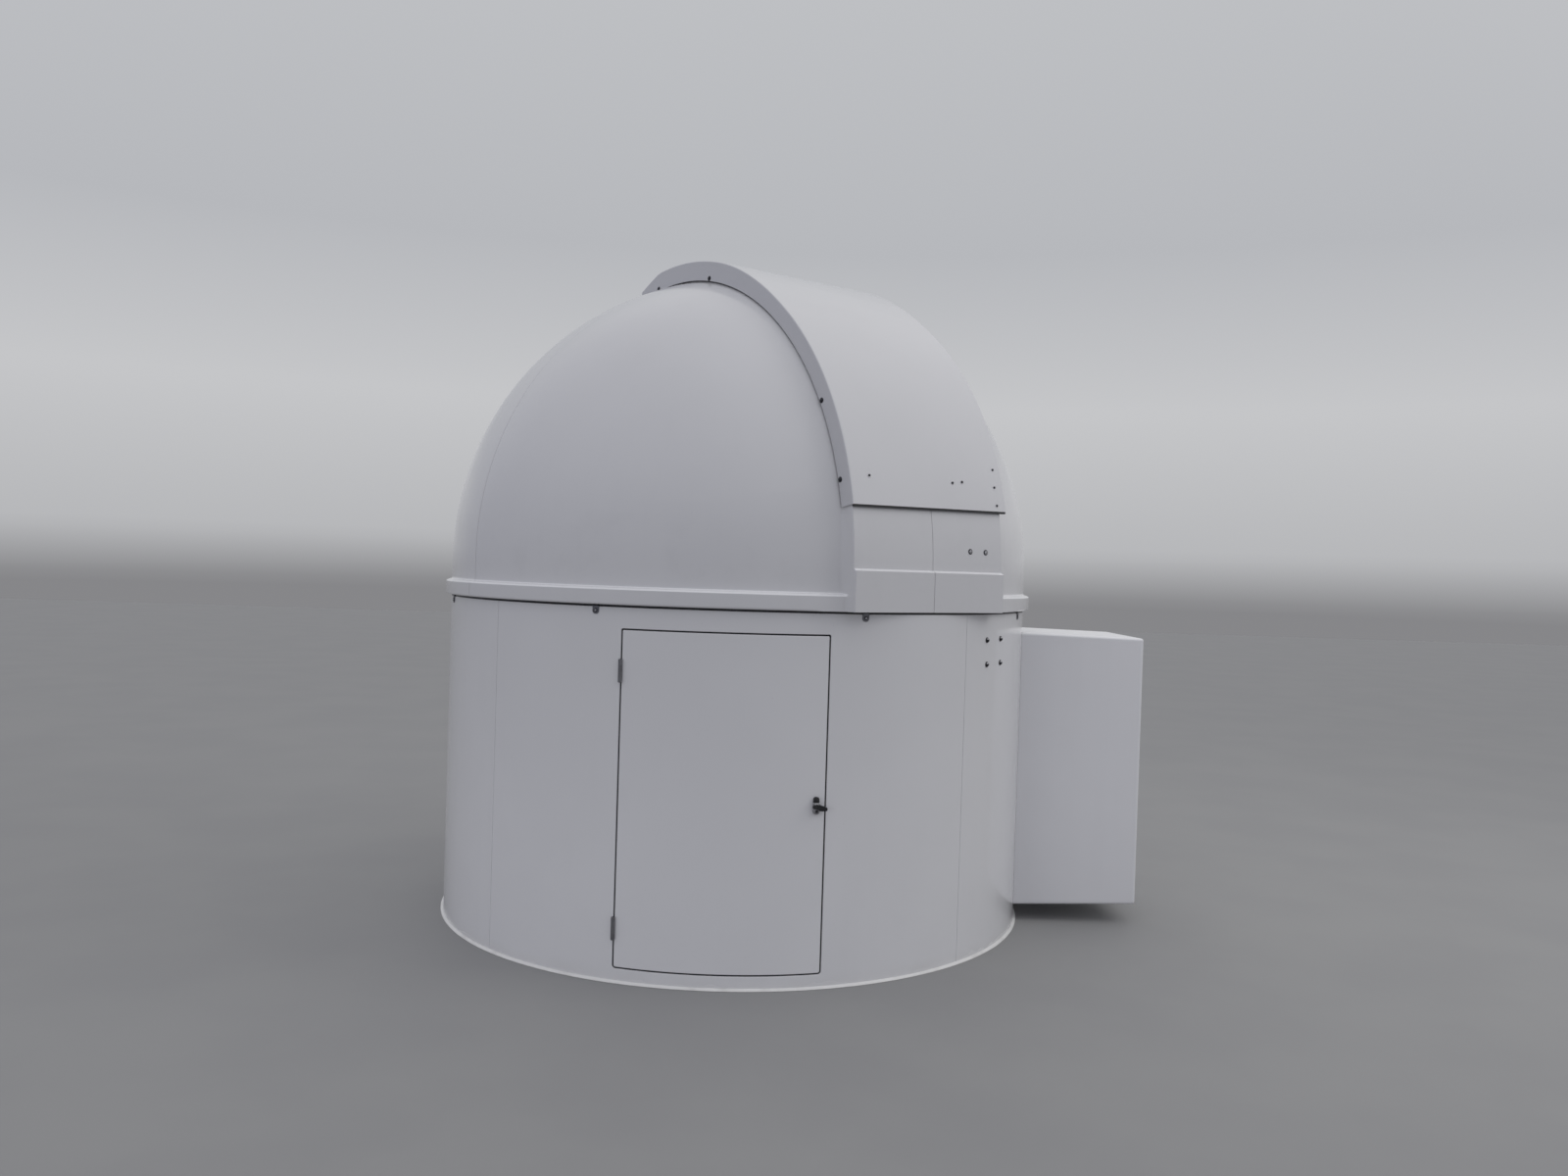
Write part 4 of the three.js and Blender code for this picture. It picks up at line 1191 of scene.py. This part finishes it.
def makeDomeFlanges():
    # Inside flanges along the dome's seams, from the track up to the slit
    for name, part in domeFlanges.items():
        bm = bmesh.new()
        inner, outer, reach = (value - part["drop"] for value in take(flange, "inner outer boltReach"))
        for near, far in flangeSides:
            steps = max(4, round(part["high"] / 3))
            sweepOver(bm, rectangle(near, far, inner, outer), 0.0, part["high"], steps)
            softBlock(bm, (inner, near, flange["domeLow"]), (outer, far, domeCentre), flange["edge"])
        faceOut(bm)
        for elevation in range(6, int(part["high"]), 11):
            flangeBolt(bm, Matrix.Translation(overSlit(reach, 0, elevation)) @ turned(-elevation, "Y"))
        place = slitTurn @ turned(part["turn"], "Z")
        addPiece(f"domeFlanges{name}", bm, place, "dome", flangeFinishes)


for end in ("front", "rear"):
    for side in ("right", "left"):
        makeDomeQuarter(end, side)
makeSlitTrim()
makeSlitRearLip()
makeDomeFlanges()
print("dome made")


# Shutter: one moulding with flat sides, its guide rollers and the plate across its rear end

shutter = {
    "half": 0.408, "front": 10.3, "rear": 103.2, "radius": 1.330,
    "lift": 0.017, "liftStart": 50, "liftEnd": 75, "slopeStart": 96.2, "dropMiddle": 0.011, "dropSide": 0.036,
    "rake": 0.5, "rakeEnd": 13.0, "thick": 0.005, "corner": 0.0065,
    "skirt": 1.262, "fixedSkirt": 0.02, "steps": 72}
shutterLip = {"clearOf": 1.3266, "low": 1.2715, "inset": 0.0062, "under": 0.0045, "thick": 0.0055}
rollers = {
    "radius": 0.011, "path": 1.2775, "boltPath": 1.2725, "inner": 0.3905, "axle": 0.006,
    "elevations": (15, 30, 77, 96.4)}


def shutterLift(elevation, lateral):
    # The hood lifts over the crown, and its rear end slopes down towards the dome, most at the sides
    lift = shutter["lift"] * easeBetween(elevation, shutter["liftStart"], shutter["liftEnd"])
    slope = shareOf(elevation, shutter["slopeStart"], shutter["rear"])
    outwards = (abs(lateral) / shutter["half"]) ** 2
    return lift - slope * (shutter["dropMiddle"] + (shutter["dropSide"] - shutter["dropMiddle"]) * outwards)


def rakeFront(bm):
    # The front edge hangs a little higher at its right end
    for vert in bm.verts:
        elevation = math.degrees(math.atan2(vert.co.z - domeCentre, vert.co.x))
        fade = 1 - easeBetween(elevation, shutter["front"], shutter["rakeEnd"])
        across = (vert.co.y + shutter["half"]) / (2 * shutter["half"])
        vert.co = turned(-shutter["rake"] * across * fade, "Y") @ (vert.co - hub) + hub


def makeShutter():
    half, corner, top, skirt = take(shutter, "half corner radius skirt")
    fixed = skirt + shutter["fixedSkirt"]
    outline = [(half, skirt), (half, fixed), (half, top - corner)]
    for turn in (22.5, 45, 67.5):
        angle = math.radians(turn)
        outline.append((half - corner + corner * math.cos(angle), top - corner + corner * math.sin(angle)))
    outline += [(lateral, top) for lateral in (half - corner, 0.3, 0.2, 0.1, 0.0)]
    outline += [(-lateral, radius) for lateral, radius in reversed(outline[:-1])]
    bm = bmesh.new()
    geometry = drawLine(bm, [overSlit(radius, lateral, shutter["front"]) for lateral, radius in outline])
    spinRound(bm, geometry, hub, (0, -1, 0), shutter["rear"] - shutter["front"], shutter["steps"])
    for vert in bm.verts:
        out = Vector((vert.co.x, 0, vert.co.z - domeCentre))
        elevation = math.degrees(math.atan2(out.z, out.x))
        share = shareOf(out.length, fixed, top - corner)
        vert.co += out.normalized() * shutterLift(elevation, vert.co.y) * share
    rakeFront(bm)
    faceOut(bm)
    if max(bm.faces, key=lambda face: middleOf(face).z).normal.z < 0:
        bmesh.ops.reverse_faces(bm, faces=bm.faces)
    bmesh.ops.solidify(bm, geom=bm.faces[:], thickness=shutter["thick"])
    # Painted shade: the flat sides get the darker copy of the gelcoat
    paint([face for face in bm.faces if abs(face.normal.y) > 0.7], 2)
    paint(facingInto(bm, (0.4, 0, domeCentre + 0.4)), 1)
    addPiece(
        "shutterHood", bm, slitTurn, "shutter", (shutterFinish, laminate, shutterSideShadedFinish),
        ("shutter_top", "shutter_skirt_left", "shutter_skirt_right"), 30)


def makeShutterLip():
    # The plate across the rear end: straight above, hollowed below to clear the dome
    rear = shutter["rear"]
    bm = bmesh.new()
    bmesh.ops.create_grid(bm, x_segments=28, y_segments=1, size=0.5)
    for vert in bm.verts:
        lateral = 2 * vert.co.x * (shutter["half"] - shutterLip["inset"])
        hollow = max(math.sqrt(shutterLip["clearOf"] ** 2 - lateral ** 2), shutterLip["low"])
        under = shutter["radius"] + shutterLift(rear, lateral) - shutterLip["under"]
        vert.co = overSlit(under if vert.co.y > 0 else hollow, lateral, rear)
    faceOut(bm)
    angle = math.radians(rear)
    raiseFaces(bm, bm.faces[:], Vector((math.sin(angle), 0, -math.cos(angle))) * shutterLip["thick"])
    faceOut(bm)
    addPiece("shutterRearLip", bm, slitTurn, "shutter", (shutterFinish,), ("shutter_rear_lip",))


def rollerPlaces(radius, lateral):
    # A place at each guide roller, first on the shutter's left and then on its right; local Z points out
    return [
        slitTurn @ Matrix.Translation(overSlit(radius, side * lateral, elevation)) @ turned(-90 * side, "X")
        for side in (-1, 1) for elevation in rollers["elevations"]]


def makeGuideRollers():
    bm = bmesh.new()
    small = 0.001
    inner, outer = rollers["inner"], shutter["half"] - shutter["thick"] + 0.001
    radius, axle, path = take(rollers, "radius axle path")
    shoulder = outer - 0.003
    outline = [
        (0, inner), (radius - small, inner), (radius, inner + small), (radius, shoulder), (axle, shoulder),
        (axle, outer), (0, outer)]
    for place in rollerPlaces(path, 0):
        turnPart(bm, outline, place, 24)
    addPiece("guideRollers", bm, inPlace, "shutter", (blackPlastic,))


wiper = {"half": 0.4020, "low": 1.3185, "high": 1.3284, "start": 9.98, "end": 10.9, "slices": 8}
edgeTrim = {
    "inner": 0.4034, "outer": 0.4076, "low": 1.2604, "high": 1.2638, "edge": 0.0008, "start": 10.45,
    "end": 103.1}


def makeShutterSeals():
    # A black wiper under the front edge and an edging along the foot of both sides
    bm = bmesh.new()
    half = wiper["half"]
    sweepOver(bm, rectangle(-half, half, wiper["low"], wiper["high"]), wiper["start"], wiper["end"], 1)
    sliceAcross(bm, half, wiper["slices"])
    inner, outer, low, high, small = take(edgeTrim, "inner outer low high edge")
    section = [
        (inner + small, low), (outer - small, low), (outer, low + small), (outer, high), (inner, high),
        (inner, low + small)]
    for side in (-1, 1):
        strip = [(side * lateral, radius) for lateral, radius in section]
        sweepOver(bm, strip, edgeTrim["start"], edgeTrim["end"], shutter["steps"])
    rakeFront(bm)
    faceOut(bm)
    addPiece("shutterSeals", bm, slitTurn, "shutter", (blackPlastic,))


makeShutter()
makeShutterLip()
makeGuideRollers()
makeShutterSeals()
print("shutter made")


# Hold-down clips and bolts

clip = {
    "count": 8, "width": 0.027, "thick": 0.003, "drop": 0.028, "clear": 0.0003, "upright": 1.287,
    "roller": 0.019, "rollerHub": 0.015, "rollerWidth": 0.022, "axle": 0.0062, "track": 1.452,
    "boltUp": 0.0135}


def clipTab(bm, half, inner, foot, top):
    # The tab that hangs over the wall, with a half-round foot
    face = inner + clip["thick"]
    verts = addBlock(bm, (inner, -half, foot), (face, half, top))
    edges = [
        edge for edge in edgesWithin(verts)
        if all(vert.co.z < foot + 1e-5 for vert in edge.verts) and spanOf(edge, 0) > 0.001]
    softenEdges(bm, edges, half * 0.92, 8)
    softenEdges(bm, edgesPast(bm.edges, 0, face - 1e-6), 0.0006)


def makeClips():
    thick, clear, upright, radius = take(clip, "thick clear upright roller")
    half = clip["width"] / 2
    inner, low, foot = wall["radius"] + clear, wall["top"] + clear, wall["top"] - clip["drop"]
    centre = clip["track"] - clear - radius
    outer = upright - 0.003
    face = outer - clip["rollerWidth"]
    wheel = [
        (0, face), (clip["rollerHub"], face), (radius - 0.001, face + 0.0005), (radius, face + 0.002),
        (radius, outer - 0.002), (radius - 0.001, outer - 0.0005), (clip["rollerHub"], outer), (0, outer)]
    for number in range(1, clip["count"] + 1):
        place = onWall(0, (number - 0.5) * 360 / clip["count"], 0)
        bm = bmesh.new()
        clipTab(bm, half, inner, foot, low + thick)
        addBlock(bm, (upright, -half, low), (inner + 0.001, half, low + thick))
        softBlock(bm, (upright, -half, low + 0.001), (upright + thick, half, centre + half * 0.9), 0.0008)
        move(bm, place)
        axle = place @ moved(0, 0, centre) @ outward
        turnPart(bm, wheel, axle, 32, 2)
        addDisc(bm, clip["axle"], face - 0.004, upright + 0.001, axle, 16, 1)
        seat = place @ moved(inner + thick, 0, foot + clip["boltUp"])
        addBolt(bm, seat @ outward, *boltSizes["clip"], 3, 1)
        finishes = (clipSteel, boltSteel, blackPlastic, brightSteelAndHighlight)
        node = f"hold_down_clip_{number}"
        addPiece(f"holdDownClip{number}", bm, inPlace, "walls", finishes, (node,))


# A button head's profile, in shares of its radius and of its height
bolt = {
    "seat": 0.0013, "sunk": 0.0004, "washerEdge": 0.0005, "height": 0.62, "socket": 0.42,
    "head": ((0, 0), (1, 0), (0.98, 0.35), (0.82, 0.78), (0.55, 1), (0, 1))}
# Head radius and washer radius
boltSizes = {
    "clip": (0.0044, 0.0078), "wall": (0.0078, 0.0084), "panel": (0.0066, 0.0112), "roller": (0.0076, 0.0108)}


def addBolt(bm, place, radius, washer, headFinish=1, washerFinish=0):
    # Button head with a hexagon socket, on a flat washer; local Z points out
    seat, sunk, small = take(bolt, "seat sunk washerEdge")
    high = radius * bolt["height"]
    rim = [(0, -sunk), (washer, -sunk), (washer, seat - sunk), (washer - small, seat), (0, seat)]
    head = [(radius * across, seat + high * up) for across, up in bolt["head"]]
    turnPart(bm, rim, place, 24, washerFinish)
    turnPart(bm, head, place, 20, headFinish)
    addDisc(bm, radius * bolt["socket"], seat + high * 0.5, seat + high + 0.00005, place, 6, 2)


# Wall: bearing, height. Panel: lateral, elevation. Shutter: lateral, elevation, head radius, washer radius
boltPlaces = {
    "wall": ((51.65, 1.2935), (57.15, 1.2955), (51.8, 1.194), (57.35, 1.196)),
    "panel": ((0.203, 3.53), (0.289, 3.49)),
    "shutter": (
        (-0.313, 15.24, 0.0050, 0.0090), (0.119, 15.25, 0.0052, 0.0074), (0.173, 15.55, 0.0052, 0.0074),
        (0.363, 18.4, 0.0050, 0.0060), (0.354, 15.1, 0.0050, 0.0060), (0.354, 11.8, 0.0052, 0.0060))}
rubberWasher = ((0, -0.0004), (0.0114, -0.0004), (0.0118, 0.0010), (0.0108, 0.0030), (0, 0.0030))


def outFromSlit(radius, lateral, elevation):
    # Local Z points out of the surface that is swept over the slit
    return slitTurn @ Matrix.Translation(overSlit(radius, lateral, elevation)) @ turned(90 - elevation, "Y")


def makeWallBolts():
    bm = bmesh.new()
    for bearing, height in boltPlaces["wall"]:
        place = onWall(wall["radius"], bearing, height) @ outward
        turnPart(bm, rubberWasher, place, 24, 2)
        before = set(bm.faces)
        addBolt(bm, place @ moved(0, 0, 0.0026), *boltSizes["wall"], 0, 0)
        # Each head's upper side gets the bright steel and the rest stays dark: a painted highlight
        paint([face for face in bm.faces if face not in before and face.normal.z > 0.25], 1)
    addPiece("wallBolts", bm, inPlace, "walls", boltFinishes)


def makeDomeBolts():
    bm = bmesh.new()
    for lateral, elevation in boltPlaces["panel"]:
        addBolt(bm, outFromSlit(panel["radius"], lateral, elevation), *boltSizes["panel"])
    addPiece("panelBolts", bm, inPlace, "dome", boltFinishes)
    bm = bmesh.new()
    for lateral, elevation, radius, washer in boltPlaces["shutter"]:
        addBolt(bm, outFromSlit(shutter["radius"], lateral, elevation), radius, washer, 0, 1)
    for place in rollerPlaces(rollers["boltPath"], shutter["half"]):
        addBolt(bm, place, *boltSizes["roller"], 0, 0)
    addPiece("shutterBolts", bm, inPlace, "shutter", boltFinishes)


makeClips()
makeWallBolts()
makeDomeBolts()
print("clips and bolts made")


# Floor

floorSetup = {
    "size": 60, "drop": 0.0006, "colour": (0.315, 0.315, 0.318, 1), "mottle": (0.335, 0.335, 0.335, 1),
    "roughness": 0.62}


def makeFloor():
    material, place = newFinish("paleFloor")
    mottled = cloud(place, 1.3, 4.0)
    tone = mottled.between(0.3, 0.7).tint(floorSetup["colour"], floorSetup["mottle"])
    closeFinish(material, {}, tone, floorSetup["roughness"] + 0.1 * mottled)
    bm = bmesh.new()
    bmesh.ops.create_grid(bm, x_segments=1, y_segments=1, size=floorSetup["size"] / 2)
    bmesh.ops.translate(bm, vec=(0, 0, -floorSetup["drop"]), verts=bm.verts)
    floor = addMesh("studioFloor", bm, (material,))


makeFloor()
